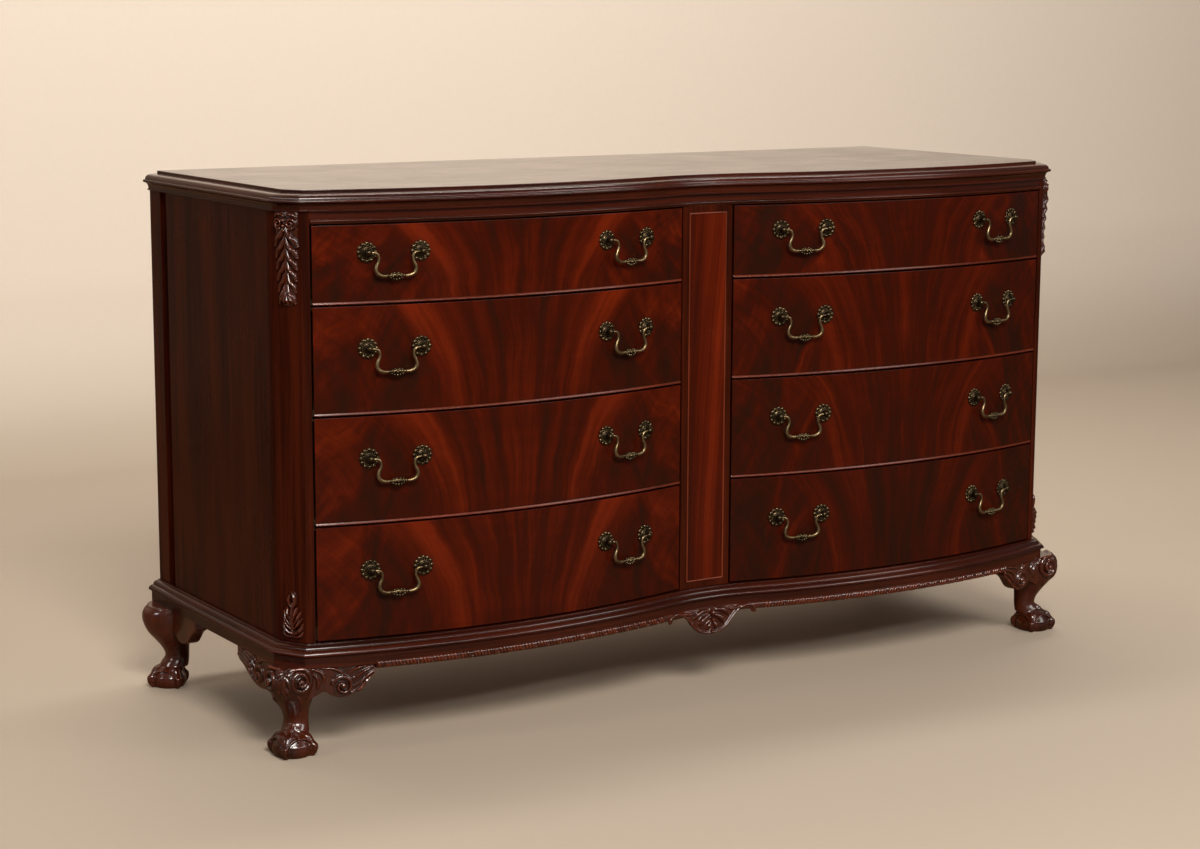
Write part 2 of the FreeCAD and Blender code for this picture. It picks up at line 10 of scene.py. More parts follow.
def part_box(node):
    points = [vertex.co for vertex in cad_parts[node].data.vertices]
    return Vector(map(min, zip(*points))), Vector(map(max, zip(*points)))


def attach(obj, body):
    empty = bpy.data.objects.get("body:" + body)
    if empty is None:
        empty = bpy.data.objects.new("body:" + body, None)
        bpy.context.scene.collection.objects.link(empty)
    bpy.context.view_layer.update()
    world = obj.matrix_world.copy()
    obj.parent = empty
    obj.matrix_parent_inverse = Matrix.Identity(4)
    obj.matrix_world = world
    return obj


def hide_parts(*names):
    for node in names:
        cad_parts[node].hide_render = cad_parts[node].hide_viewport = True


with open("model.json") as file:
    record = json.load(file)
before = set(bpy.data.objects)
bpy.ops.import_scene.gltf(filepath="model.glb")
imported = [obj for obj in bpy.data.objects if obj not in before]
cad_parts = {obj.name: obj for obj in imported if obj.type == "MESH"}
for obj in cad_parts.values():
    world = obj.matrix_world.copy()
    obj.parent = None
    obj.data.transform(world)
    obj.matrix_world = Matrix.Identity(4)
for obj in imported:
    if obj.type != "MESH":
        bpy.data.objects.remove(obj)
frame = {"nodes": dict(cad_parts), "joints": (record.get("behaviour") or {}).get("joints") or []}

scene = bpy.context.scene
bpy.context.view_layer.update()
mm = 0.001
tolerance = 0.01 * mm
drawerRows = ("bottom", "lower", "upper", "top")

# plan and heights of the case, as in the CAD
plan = {"halfWidth": 0.7845, "backY": 0.3095, "faceY": -0.2415, "bankX": 0.39875, "halfChord": 0.34775,
        "swell": 0.046, "valleyRadius": 0.410, "cantFront": 0.025, "cantSide": 0.043,
        "legTop": 0.144, "baseTop": 0.1815, "friezeBottom": 0.8465, "friezeTop": 0.8655,
        "topBottom": 0.8785, "topZ": 0.898}
bowRadius = (plan["halfChord"] ** 2 + plan["swell"] ** 2) / (2 * plan["swell"])
bowY = plan["faceY"] - plan["swell"] + bowRadius
valleyY = bowY - math.sqrt((bowRadius + plan["valleyRadius"]) ** 2 - plan["bankX"] ** 2)


# node helpers, used by every finish
def put(tree, kind, inputs=None, **settings):
    made = tree.nodes.new(kind)
    for key, value in settings.items():
        setattr(made, key, value)
    for key, value in (inputs or {}).items():
        if isinstance(value, bpy.types.NodeSocket):
            tree.links.new(value, made.inputs[key])
        else:
            made.inputs[key].default_value = value
    return made


def calc(tree, operation, a, b=0.0, c=0.0):
    return put(tree, "ShaderNodeMath", {0: a, 1: b, 2: c}, operation=operation).outputs[0]


def mixColour(tree, share, a, b):
    return put(tree, "ShaderNodeMix", {0: share, 6: a, 7: b}, data_type="RGBA").outputs[2]


def spread(tree, value, low, high, toLow=0.0, toHigh=1.0):
    sockets = {"Value": value, "From Min": low, "From Max": high, "To Min": toLow, "To Max": toHigh}
    return put(tree, "ShaderNodeMapRange", sockets, interpolation_type="SMOOTHSTEP").outputs[0]


def stretched(tree, vector, factors):
    return put(tree, "ShaderNodeVectorMath", {0: vector, 1: factors}, operation="MULTIPLY").outputs[0]


def noise(tree, vector, scale, detail=2.0, rough=0.5, bend=0.0):
    sockets = {"Vector": vector, "Scale": scale, "Detail": detail, "Roughness": rough, "Distortion": bend}
    return put(tree, "ShaderNodeTexNoise", sockets).outputs[0]


def newGroup(name, inputs, outputs, kind="ShaderNodeTree"):
    tree = bpy.data.node_groups.new(name, kind)
    for label, socketKind, value in inputs:
        socket = tree.interface.new_socket(label, in_out="INPUT", socket_type=socketKind)
        if value is not None:
            socket.default_value = value
    for label, socketKind in outputs:
        tree.interface.new_socket(label, in_out="OUTPUT", socket_type=socketKind)
    return tree, tree.nodes.new("NodeGroupInput").outputs, tree.nodes.new("NodeGroupOutput").inputs


def useGroup(tree, group, inputs):
    return put(tree, "ShaderNodeGroup", inputs, node_tree=group).outputs


def wire(tree, inputs, sources):
    for label, source in sources.items():
        tree.links.new(source, inputs[label])


def objectPlace(tree):
    return put(tree, "ShaderNodeTexCoord").outputs["Object"]


def combined(tree, *values):
    return put(tree, "ShaderNodeCombineXYZ", dict(enumerate(values))).outputs[0]


def parted(tree, vector):
    return put(tree, "ShaderNodeSeparateXYZ", {0: vector}).outputs


def times(tree, a, b):
    return calc(tree, "MULTIPLY", a, b)


def timesAdd(tree, a, b, c):
    return calc(tree, "MULTIPLY_ADD", a, b, c)


def minus(tree, a, b):
    return calc(tree, "SUBTRACT", a, b)


def weighed(tree, *shares):
    # sum of values, each times its weight
    total = times(tree, *shares[0])
    for value, weight in shares[1:]:
        total = timesAdd(tree, value, weight, total)
    return total


def levelled(tree, value, middle, gain, level):
    # contrast about a middle, which itself comes out at the given level
    return timesAdd(tree, minus(tree, value, middle), gain, level)


# mahogany grain: the third coordinate runs along the fibres
# a layer has its patches per metre and how far they are drawn out along the fibres
mahogany = {"cloud": (13.0, 0.14), "ribbon": (120.0, 0.022), "fibre": (760.0, 0.012), "pore": (1250.0, 0.035),
            "cloudShare": 0.6, "fibreShare": 0.22, "poreShare": 0.45, "fibreHeight": 0.4,
            "toneSpan": (0.24, 0.58), "poreSpan": (0.60, 0.72)}


def makeGrainGroup():
    m = mahogany
    tree, given, result = newGroup("mahoganyGrain", [
        ("Vector", "NodeSocketVector", None), ("Dark", "NodeSocketColor", (0.03, 0.01, 0.005, 1)),
        ("Light", "NodeSocketColor", (0.1, 0.03, 0.01, 1)), ("Ribbon", "NodeSocketFloat", 0.5)],
        [("Colour", "NodeSocketColor"), ("Height", "NodeSocketFloat")])

    def layer(kind, *texture):
        scale, drawn = m[kind]
        return noise(tree, stretched(tree, given["Vector"], (1, 1, drawn)), scale, *texture)

    fibre = layer("fibre", 2.0)
    pores = spread(tree, layer("pore", 1.0), *m["poreSpan"])
    tone = weighed(tree, (layer("cloud", 3.0, 0.55, 0.7), m["cloudShare"]),
                   (layer("ribbon", 4.0, 0.62, 0.25), given["Ribbon"]), (fibre, m["fibreShare"]))
    share = spread(tree, minus(tree, tone, times(tree, given["Ribbon"], 0.5)), *m["toneSpan"])
    colour = mixColour(tree, share, given["Dark"], given["Light"])
    pored = mixColour(tree, times(tree, pores, m["poreShare"]), colour, given["Dark"])
    wire(tree, result, {"Colour": pored, "Height": minus(tree, times(tree, fibre, m["fibreHeight"]), pores)})
    return tree


# hand polish: cloudy changes of gloss with a few rubbed smears
polishing = {"clouds": 5.5, "cloudShare": 0.55, "smears": 46.0, "smearDrawn": 0.25, "smearShare": 0.45,
             "glossSpan": (0.36, 0.66), "ripple": 24.0}


def makePolishGroup():
    p = polishing
    tree, given, result = newGroup("handPolish", [
        ("Vector", "NodeSocketVector", None), ("Glossy", "NodeSocketFloat", 0.2),
        ("Dull", "NodeSocketFloat", 0.4)],
        [("Roughness", "NodeSocketFloat"), ("Ripple", "NodeSocketFloat")])
    vector = given["Vector"]
    clouds = noise(tree, vector, p["clouds"], 4.0, 0.6, 0.4)
    smears = noise(tree, stretched(tree, vector, (1, 1, p["smearDrawn"])), p["smears"], 3.0, 0.6)
    share = spread(tree, weighed(tree, (clouds, p["cloudShare"]), (smears, p["smearShare"])), *p["glossSpan"])
    span = minus(tree, given["Dull"], given["Glossy"])
    wire(tree, result, {"Roughness": timesAdd(tree, share, span, given["Glossy"]),
                        "Ripple": noise(tree, vector, p["ripple"], 1.0)})
    return tree


# painted shade darkens the hollows over their dark polish, and high spots are rubbed bright, wear with a
# painted highlight (cavity: 0.5 is flat, 1 is a deep hollow)
reliefShading = {"hollowSpan": (0.53, 0.86), "highSpan": (0.46, 0.16), "patches": 70.0, "patchSpan": (0.28, 0.62)}


def makeReliefShadingGroup():
    r = reliefShading
    tree, given, result = newGroup("rubbedRelief", [
        ("Colour", "NodeSocketColor", (0.1, 0.03, 0.01, 1)),
        ("Hollow", "NodeSocketColor", (0.01, 0.005, 0.003, 1)),
        ("Rubbed", "NodeSocketColor", (0.2, 0.07, 0.03, 1)), ("Vector", "NodeSocketVector", None),
        ("Amount", "NodeSocketFloat", 0.8)],
        [("Colour", "NodeSocketColor"), ("Depth", "NodeSocketFloat"), ("Worn", "NodeSocketFloat")])
    cavity = put(tree, "ShaderNodeAttribute", attribute_name="cavity").outputs["Fac"]
    patchy = spread(tree, noise(tree, given["Vector"], r["patches"], 3.0, 0.6), *r["patchSpan"])
    # painted shade in the hollows, wear with a painted highlight on the high spots
    depth = times(tree, spread(tree, cavity, *r["hollowSpan"]), given["Amount"])
    litShare = times(tree, times(tree, spread(tree, cavity, *r["highSpan"]), patchy), given["Amount"])
    lit = mixColour(tree, litShare, given["Colour"], given["Rubbed"])
    wire(tree, result, {"Colour": mixColour(tree, depth, lit, given["Hollow"]), "Depth": depth, "Worn": litShare})
    return tree


grainGroup = makeGrainGroup()
polishGroup = makePolishGroup()
reliefShadingGroup = makeReliefShadingGroup()


def newMaterial(name, **shader):
    material = bpy.data.materials.new(name)
    material.use_nodes = True
    tree = material.node_tree
    surface = tree.nodes["Principled BSDF"]
    for label, value in shader.items():
        surface.inputs[label.replace("_", " ")].default_value = value
    return material, tree, surface


def addBump(tree, surface, height, strength, distance):
    bump = put(tree, "ShaderNodeBump", {"Height": height, "Strength": strength, "Distance": distance})
    tree.links.new(bump.outputs[0], surface.inputs["Normal"])


def attributeVector(tree, name):
    return put(tree, "ShaderNodeAttribute", attribute_name=name).outputs["Vector"]


def woodGrain(tree, vector, wood):
    return useGroup(tree, grainGroup, {"Vector": vector, "Dark": wood["dark"], "Light": wood["light"],
                                       "Ribbon": wood["ribbon"]})


def handPolish(tree, vector, wood):
    glossy, dull = wood["gloss"]
    return useGroup(tree, polishGroup, {"Vector": vector, "Glossy": glossy, "Dull": dull})


finish = {"coatRoughness": 0.10, "coatBend": 1.4, "ripple": 3.0, "bump": (0.25, 0.00012)}
caseWoods = {
    "polishedMahogany": {"dark": (0.0150, 0.0023, 0.0008, 1), "light": (0.0560, 0.0078, 0.0020, 1),
                         "ribbon": 0.55, "sheen": 0.10, "coat": 0.05, "gloss": (0.20, 0.28)},
    "mouldedMahogany": {"dark": (0.0150, 0.0023, 0.0008, 1), "light": (0.0560, 0.0078, 0.0020, 1),
                        "ribbon": 0.55, "sheen": 0.34, "coat": 0.25, "gloss": (0.14, 0.22)},
    # the bead wood is paler than the case: its colour is a painted highlight along the drawer beads
    "beadMahogany": {"dark": (0.0600, 0.0090, 0.0030, 1), "light": (0.1400, 0.0225, 0.0075, 1),
                     "ribbon": 0.3, "sheen": 0.26, "coat": 0.15, "gloss": (0.18, 0.28)},
    # the line wood is paler still: its colour is a painted highlight along the stile's bead
    "lineMahogany": {"dark": (0.0850, 0.0140, 0.0048, 1), "light": (0.1750, 0.0310, 0.0110, 1),
                     "ribbon": 0.3, "sheen": 0.26, "coat": 0.15, "gloss": (0.18, 0.28)}}


# polished case wood, its grain laid by the "grain" attribute of each piece
def makeCaseWood(name):
    wood = caseWoods[name]
    material, tree, surface = newMaterial(
        name, Coat_Weight=wood["coat"], Coat_Roughness=finish["coatRoughness"], Coat_IOR=finish["coatBend"],
        Specular_IOR_Level=wood["sheen"])
    along = attributeVector(tree, "grain")
    grain = woodGrain(tree, along, wood)
    polish = handPolish(tree, along, wood)
    wire(tree, surface.inputs, {"Base Color": grain["Colour"], "Roughness": polish["Roughness"]})
    height = timesAdd(tree, polish["Ripple"], finish["ripple"], grain["Height"])
    addBump(tree, surface, height, *finish["bump"])
    return material


# hollow is painted shade in the hollows, rubbed is wear with a painted highlight on the high spots
carving = {"dark": (0.019, 0.0031, 0.0011, 1), "light": (0.066, 0.0102, 0.0028, 1), "ribbon": 0.4,
           "hollow": (0.0040, 0.0012, 0.0006, 1), "rubbed": (0.150, 0.0280, 0.0085, 1), "wear": 0.9,
           "gloss": (0.15, 0.25), "hollowDull": 0.3, "ripple": 2.0, "sheen": 0.6, "coat": 0.5}


def makeCarvedWood():
    c = carving
    material, tree, surface = newMaterial(
        "carvedMahogany", Coat_Weight=c["coat"], Coat_Roughness=finish["coatRoughness"],
        Specular_IOR_Level=c["sheen"])
    place = objectPlace(tree)
    grain = woodGrain(tree, place, c)
    # hollows darkened by painted shade, high spots lightened by wear and a painted highlight
    relief = useGroup(tree, reliefShadingGroup, {"Colour": grain["Colour"], "Hollow": c["hollow"],
                                          "Rubbed": c["rubbed"], "Vector": place, "Amount": c["wear"]})
    polish = handPolish(tree, place, c)
    roughness = timesAdd(tree, relief["Depth"], c["hollowDull"], polish["Roughness"])
    wire(tree, surface.inputs, {"Base Color": relief["Colour"], "Roughness": roughness})
    addBump(tree, surface, timesAdd(tree, polish["Ripple"], c["ripple"], grain["Height"]), *finish["bump"])
    return material


# streaks have their number across and along, then detail, roughness and bend
flame = {"black": (0.0190, 0.0046, 0.0020, 1), "brown": (0.037, 0.0040, 0.0011, 1), "brownAt": 0.34,
         "red": (0.064, 0.0060, 0.0011, 1), "redAt": 0.62, "pale": (0.118, 0.0112, 0.0018, 1),
         "fan": 0.47, "fanEase": 1.6, "plume": 0.42, "unlike": 0.03,
         "wander": 1.6, "wanderStretch": (1.3, 0.6, 1), "wanderBy": (0.12, 0.16, 0.0),
         "plumes": (5.5, 0.4, 3.0, 0.55, 0.4), "tongues": (15.0, 0.5, 4.0, 0.6, 0.3),
         "hairs": (70.0, 0.7, 3.0, 0.6), "ripples": (3.0, 7.0, 2.0, 0.5, 1.2), "fine": (330.0, 4.0, 1.0),
         "figureTone": (0.64, 2.9, 0.47), "calmTone": (0.57, 2.5, 0.37), "glow": 0.16, "poreShare": 0.4,
         "sheetDepth": (-0.021, 0.017), "upperPaler": (0.56, 0.24), "poreSpan": (0.58, 0.74),
         "gloss": (0.20, 0.28), "sheen": 0.11, "coat": 0.08, "bump": (0.2, 0.0001)}


# crotch figure, book-matched about the middle of a bank, fanning out upwards on each drawer
def makeFlameVeneer():
    f = flame
    material, tree, surface = newMaterial(
        "flameVeneer", Coat_Weight=f["coat"], Coat_Roughness=finish["coatRoughness"],
        Coat_IOR=finish["coatBend"], Specular_IOR_Level=f["sheen"])
    lie = attributeVector(tree, "veneer")
    wander = put(tree, "ShaderNodeTexNoise", {"Vector": stretched(tree, lie, f["wanderStretch"]),
                                              "Scale": f["wander"], "Detail": 3.0, "Roughness": 0.55})
    drift = put(tree, "ShaderNodeVectorMath", {0: wander.outputs["Color"], 1: (0.5, 0.5, 0.5)},
                operation="SUBTRACT")
    moved = put(tree, "ShaderNodeVectorMath", {0: drift.outputs[0], 1: f["wanderBy"], 2: lie},
                operation="MULTIPLY_ADD")
    across, up, sheetMark = parted(tree, moved.outputs[0])
    side = calc(tree, "ABSOLUTE", across)
    rise = calc(tree, "MAXIMUM", up, 0.0)
    lift = times(tree, calc(tree, "POWER", rise, f["fanEase"]), -f["fan"])
    fan = times(tree, side, calc(tree, "EXPONENT", lift))
    # the sheets on the two sides of the joint are alike, not equal
    sheet = timesAdd(tree, calc(tree, "SIGN", across), f["unlike"], sheetMark)

    def streaks(wide, tall, *texture):
        where = combined(tree, times(tree, fan, wide), times(tree, rise, tall), sheet)
        return noise(tree, where, 1.0, *texture)

    plumes, tongues, hairs = (streaks(*f[kind]) for kind in ("plumes", "tongues", "hairs"))
    ripples = streaks(*f["ripples"])  # across the fan, so that the crotch shimmers
    # clouds swirl beside the plume
    slope = weighed(tree, (rise, 1.1), (side, 2.4))
    clouds = noise(tree, combined(tree, times(tree, side, 3.2), slope, sheet), 1.0, 4.0, 0.58, 1.6)
    # the plume burns brightest at its edge
    reach = calc(tree, "DIVIDE", fan, f["plume"])
    inPlume = spread(tree, reach, 1.22, 0.84)
    glow = times(tree, spread(tree, reach, 0.30, 0.85), spread(tree, reach, 1.20, 0.92))
    figure = weighed(tree, (tongues, 0.46), (plumes, 0.58), (hairs, 0.16), (ripples, 0.08))
    figure = timesAdd(tree, glow, f["glow"], levelled(tree, figure, *f["figureTone"]))
    calm = weighed(tree, (tongues, 0.22), (clouds, 0.80), (hairs, 0.12))
    calm = levelled(tree, calm, *f["calmTone"])
    # every sheet has its own depth of colour, and painted light from above makes the upper ones paler
    place = objectPlace(tree)
    depth = timesAdd(tree, sheetMark, *f["sheetDepth"])
    depth = levelled(tree, parted(tree, place)[2], *f["upperPaler"], depth)
    tone = calc(tree, "ADD", timesAdd(tree, minus(tree, figure, calm), inPlume, calm), depth)
    ramp = put(tree, "ShaderNodeValToRGB", {0: tone})
    stops = ramp.color_ramp.elements
    stops[0].color = f["black"]
    stops[1].color = f["pale"]
    for shade in ("brown", "red"):
        stops.new(f[shade + "At"]).color = f[shade]
    pores = spread(tree, noise(tree, stretched(tree, lie, f["fine"]), 1.0, 2.0), *f["poreSpan"])
    colour = mixColour(tree, times(tree, pores, f["poreShare"]), ramp.outputs[0], f["black"])
    polish = handPolish(tree, place, f)
    wire(tree, surface.inputs, {"Base Color": colour, "Roughness": polish["Roughness"]})
    addBump(tree, surface, minus(tree, times(tree, polish["Ripple"], finish["ripple"]), pores), *f["bump"])
    return material


lining = {"dark": (0.190, 0.108, 0.052, 1), "light": (0.360, 0.235, 0.128, 1), "ribbon": 0.5,
          "stain": (0.12, 0.062, 0.030, 1), "stainSize": 4.0, "stainSpan": (0.52, 0.75, 0.0, 0.4),
          "gloss": (0.55, 0.75), "sheen": 0.3, "bump": (0.4, 0.0002), "wall": 12.5 * mm}


# bare inner wood: fibres from side to side, or from front to back on the two sides of a drawer,
# which lie more than half away from the middle of their bank
def makeInnerWood(name, middle=None, half=None):
    material, tree, surface = newMaterial(name, Specular_IOR_Level=lining["sheen"])
    place = objectPlace(tree)

    def laid(*turn):
        return put(tree, "ShaderNodeMapping", {"Vector": place, "Rotation": turn}).outputs[0]

    along = laid(0, math.pi / 2, 0)
    if half:
        across = calc(tree, "ABSOLUTE", parted(tree, place)[0])
        isSide = calc(tree, "GREATER_THAN", calc(tree, "ABSOLUTE", minus(tree, across, middle)), half)
        choice = {0: isSide, 4: along, 5: laid(math.pi / 2, 0, 0)}
        along = put(tree, "ShaderNodeMix", choice, data_type="VECTOR").outputs[1]
    grain = woodGrain(tree, along, lining)
    stain = spread(tree, noise(tree, place, lining["stainSize"], 4.0, 0.6), *lining["stainSpan"])
    wire(tree, surface.inputs, {"Base Color": mixColour(tree, stain, grain["Colour"], lining["stain"]),
                                "Roughness": handPolish(tree, place, lining)["Roughness"]})
    addBump(tree, surface, grain["Height"], *lining["bump"])
    return material


# each brass has its dark, light and rubbed colour; the rubbed colour lights high spots as wear with a painted
# highlight, and hollows take dark patina with painted shade
brass = {"agedBrass": ((0.10, 0.066, 0.030, 1), (0.24, 0.165, 0.080, 1), (0.62, 0.48, 0.27, 1)),
         "blackenedBrass": ((0.022, 0.015, 0.008, 1), (0.070, 0.047, 0.023, 1), (0.17, 0.122, 0.064, 1)),
         "hollow": (0.006, 0.0042, 0.003, 1), "wear": 0.95, "metal": 0.95, "hollowMetal": 0.5,
         "mottle": 240.0, "mottleSpan": (0.35, 0.68), "rough": 0.42, "mottleRough": -0.08,
         "hollowRough": 0.28, "wornRough": -0.12, "grit": 900.0, "bump": (0.25, 0.00015)}


def makeBrass(name):
    b = brass
    dark, light, rubbed = b[name]
    material, tree, surface = newMaterial(name, Specular_IOR_Level=0.5)
    place = objectPlace(tree)
    mottle = spread(tree, noise(tree, place, b["mottle"], 4.0, 0.65), *b["mottleSpan"])
    skin = mixColour(tree, mottle, dark, light)
    # dark patina with painted shade in the hollows, wear with a painted highlight on the high spots
    relief = useGroup(tree, reliefShadingGroup, {"Colour": skin, "Hollow": b["hollow"], "Rubbed": rubbed,
                                          "Vector": place, "Amount": b["wear"]})
    rough = timesAdd(tree, mottle, b["mottleRough"], b["rough"])
    rough = timesAdd(tree, relief["Depth"], b["hollowRough"], rough)
    wire(tree, surface.inputs, {
        "Base Color": relief["Colour"],
        "Metallic": minus(tree, b["metal"], times(tree, relief["Depth"], b["hollowMetal"])),
        "Roughness": timesAdd(tree, relief["Worn"], b["wornRough"], rough)})
    addBump(tree, surface, noise(tree, place, b["grit"], 2.0), *b["bump"])
    return material


boardWood, mouldWood, beadHighlightWood, lineHighlightWood = (makeCaseWood(name) for name in caseWoods)
carvedWood = makeCarvedWood()
flameVeneer = makeFlameVeneer()
innerWood = makeInnerWood("plainHardwood")
boxLow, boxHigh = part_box("right_top_drawer_box")
boxHalf = (boxHigh.x - boxLow.x) / 2 - lining["wall"]
boxWood = makeInnerWood("drawerLining", (boxLow.x + boxHigh.x) / 2, boxHalf)
agedBrass, blackBrass = makeBrass("agedBrass"), makeBrass("blackenedBrass")
print("finishes ready")


# mesh helpers
def poured(bm, mesh):
    # faces turned outwards, then the working mesh written out
    bmesh.ops.recalc_face_normals(bm, faces=bm.faces[:])
    bm.to_mesh(mesh)
    bm.free()
    return mesh


def newPiece(name, source, materials, sharp=32.0):
    if isinstance(source, bpy.types.Mesh):
        mesh = source
        mesh.materials.clear()
    else:
        mesh = poured(source, bpy.data.meshes.new(name))
    mesh.name = name
    for material in materials:
        mesh.materials.append(material)
    mesh.shade_smooth()
    mesh.set_sharp_from_angle(angle=math.radians(sharp))
    piece = bpy.data.objects.new(name, mesh)
    scene.collection.objects.link(piece)
    return piece


def baked(piece):
    graph = bpy.context.evaluated_depsgraph_get()
    result = bpy.data.meshes.new_from_object(piece.evaluated_get(graph))
    rough = piece.data
    piece.modifiers.clear()
    piece.data = result
    bpy.data.meshes.remove(rough)
    result.name = piece.name
    return piece


def soften(piece, width, sharp=32.0, segments=2):
    bevel = piece.modifiers.new("arris", "BEVEL")
    bevel.width = width
    bevel.segments = segments
    bevel.limit_method = "ANGLE"
    bevel.angle_limit = math.radians(sharp)
    flats = piece.modifiers.new("flatFaces", "WEIGHTED_NORMAL")
    flats.mode = "FACE_AREA"
    flats.weight = 100
    flats.keep_sharp = False
    piece.data.shade_smooth()
    return baked(piece)


def settle(piece, body, slot, *nodes):
    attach(piece, body)
    if nodes:
        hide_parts(*nodes)
    return piece


def meshArray(items, field, size, kind=np.float64):
    values = np.empty(len(items) * size, kind)
    items.foreach_get(field, values)
    return values.reshape(-1, size) if size > 1 else values


def setVectors(piece, name, values):
    layer = piece.data.attributes.new(name, "FLOAT_VECTOR", "POINT")
    layer.data.foreach_set("vector", np.ascontiguousarray(values, np.float32).ravel())
    return piece


def layGrain(piece):
    # upright wood: the fibres run along z
    return setVectors(piece, "grain", meshArray(piece.data.vertices, "co", 3))


# curvature at each vertex; the materials paint shade in hollows and a highlight on high spots from it
def markCavity(piece, gain=1.6, passes=2):
    mesh = piece.data
    where = meshArray(mesh.vertices, "co", 3)
    normal = meshArray(mesh.vertices, "normal", 3)
    a, b = meshArray(mesh.edges, "vertices", 2, np.int32).T
    run = where[b] - where[a]
    length = np.linalg.norm(run, axis=1) + 1e-9
    count = len(where)
    joins = np.bincount(a, minlength=count) + np.bincount(b, minlength=count) + 1e-9
    bend = np.bincount(a, (run * normal[a]).sum(1) / length, count)
    bend += np.bincount(b, -(run * normal[b]).sum(1) / length, count)
    bend /= joins
    for _ in range(passes):
        near = np.bincount(a, bend[b], count) + np.bincount(b, bend[a], count)
        bend = 0.5 * bend + 0.5 * near / joins
    level = np.clip(0.5 + gain * bend, 0, 1).astype(np.float32)
    mesh.attributes.new("cavity", "FLOAT", "POINT").data.foreach_set("value", level)
    return piece


def mergedCopy(node):
    bm = bmesh.new()
    bm.from_mesh(frame["nodes"][node].data)
    bmesh.ops.remove_doubles(bm, verts=bm.verts[:], dist=tolerance)
    return bm


def softCopy(name, node, width=0.7 * mm, top=None):
    # an upright board of the CAD with its arrises eased, run up to another height if one is given
    bm = mergedCopy(node)
    bmesh.ops.dissolve_limit(bm, angle_limit=math.radians(0.5), verts=bm.verts[:], edges=bm.edges[:])
    if top:
        for vert in bm.verts:
            if vert.co.z > plan["friezeBottom"] - tolerance:
                vert.co.z = top
    return layGrain(soften(newPiece(name, bm, [boardWood]), width))


def coat(node, material):
    materials = frame["nodes"][node].data.materials
    materials.clear()
    materials.append(material)


def mirroredMesh(mesh, name):
    copy = mesh.copy()
    copy.transform(Matrix.Scale(-1, 4, (1, 0, 0)))
    copy.flip_normals()
    copy.name = name
    return copy


def curved(points, count=24):
    # smooth line through the control points, any number of coordinates each
    points = np.asarray(points, float)
    padded = np.vstack([2 * points[0] - points[1], points, 2 * points[-1] - points[-2]])
    place = np.linspace(0, len(points) - 1 - 1e-9, count)
    k = place.astype(int)
    t = (place - k)[:, None]
    a, b, c, d = (padded[k + i] for i in range(4))
    return 0.5 * (2 * b + (c - a) * t + (2 * a - 5 * b + 4 * c - d) * t ** 2
                  + (3 * b - a - 3 * c + d) * t ** 3)


def roundTurns(count):
    return [2 * math.pi * k / count for k in range(count)]


def joinRings(bm, rings):
    # skin over rings of one count, closed at both ends
    for low, high in zip(rings, rings[1:]):
        for k in range(len(low)):
            bm.faces.new((low[k - 1], low[k], high[k], high[k - 1]))
    bm.faces.new(rings[0])
    bm.faces.new(rings[-1])


def tubeAlong(bm, line, girths, sides):
    # round tube with closed ends along a line that lies square to y
    line = [Vector(p) for p in line]
    rings = []
    for k, point in enumerate(line):
        heading = (line[min(k + 1, len(line) - 1)] - line[max(k - 1, 0)]).normalized()
        cross = heading.cross(Vector((0, 1, 0))).normalized()
        second = cross.cross(heading).normalized()
        rings.append([bm.verts.new(point + (cross * math.cos(a) + second * math.sin(a)) * girths[k])
                      for a in roundTurns(sides)])
    joinRings(bm, rings)


# plan curve that the top, cornice, base and apron follow
def bowAt(x, out):
    return bowY - math.sqrt((bowRadius + out) ** 2 - (x - plan["bankX"]) ** 2)


def valleyAt(x, out):
    return valleyY + math.sqrt((plan["valleyRadius"] - out) ** 2 - x * x)


def cantCorners(out):
    along = Vector((plan["cantFront"], plan["cantSide"])).normalized()
    outward = Vector((along.y, -along.x))
    postX = plan["halfWidth"] - plan["cantFront"]
    start = Vector((postX, bowAt(postX, 0))) + outward * out
    sideHit = start + along * ((plan["halfWidth"] + out - start.x) / along.x)
    toCentre = Vector((plan["bankX"], bowY)) - start
    halfWay = along.dot(toCentre)
    reach = halfWay ** 2 - toCentre.dot(toCentre) + (bowRadius + out) ** 2
    return start + along * (halfWay - math.sqrt(reach)), sideHit


def planLine(out, rear=plan["backY"], bowSteps=34, valleySteps=9):
    bowHit, sideHit = cantCorners(out)
    share = (plan["valleyRadius"] - out) / (bowRadius + plan["valleyRadius"])
    tangentX = plan["bankX"] * share
    right = [(plan["halfWidth"] + out, rear), tuple(sideHit), tuple(bowHit)]
    for k in range(1, bowSteps + 1):
        x = bowHit.x + (tangentX - bowHit.x) * k / bowSteps
        right.append((x, bowAt(x, out)))
    for k in range(1, valleySteps + 1):
        x = tangentX * (1 - k / valleySteps)
        right.append((x, valleyAt(x, out)))
    return right + [(-x, y) for x, y in reversed(right[:-1])]


def trimmed(line, reach):
    # the part of a plan line that lies in front, between -reach and reach, with its ends put in
    front = [p for p in line if p[1] < 0]
    kept = [p for p in front if abs(p[0]) < reach]
    first = next(k for k, p in enumerate(front) if p[0] < reach)
    outer, inner = front[first - 1], front[first]
    share = (reach - inner[0]) / (outer[0] - inner[0])
    endY = inner[1] + (outer[1] - inner[1]) * share
    return [(reach, endY)] + kept + [(-reach, endY)]


def arc(centreOut, centreZ, reachOut, reachZ, steps=7, turn=(0, math.pi / 2)):
    angles = np.linspace(*turn, steps + 1)
    return [(centreOut + reachOut * math.cos(a), centreZ + reachZ * math.sin(a)) for a in angles]


def toBack(line):
    return [(out, z, plan["backY"]) for out, z in line]


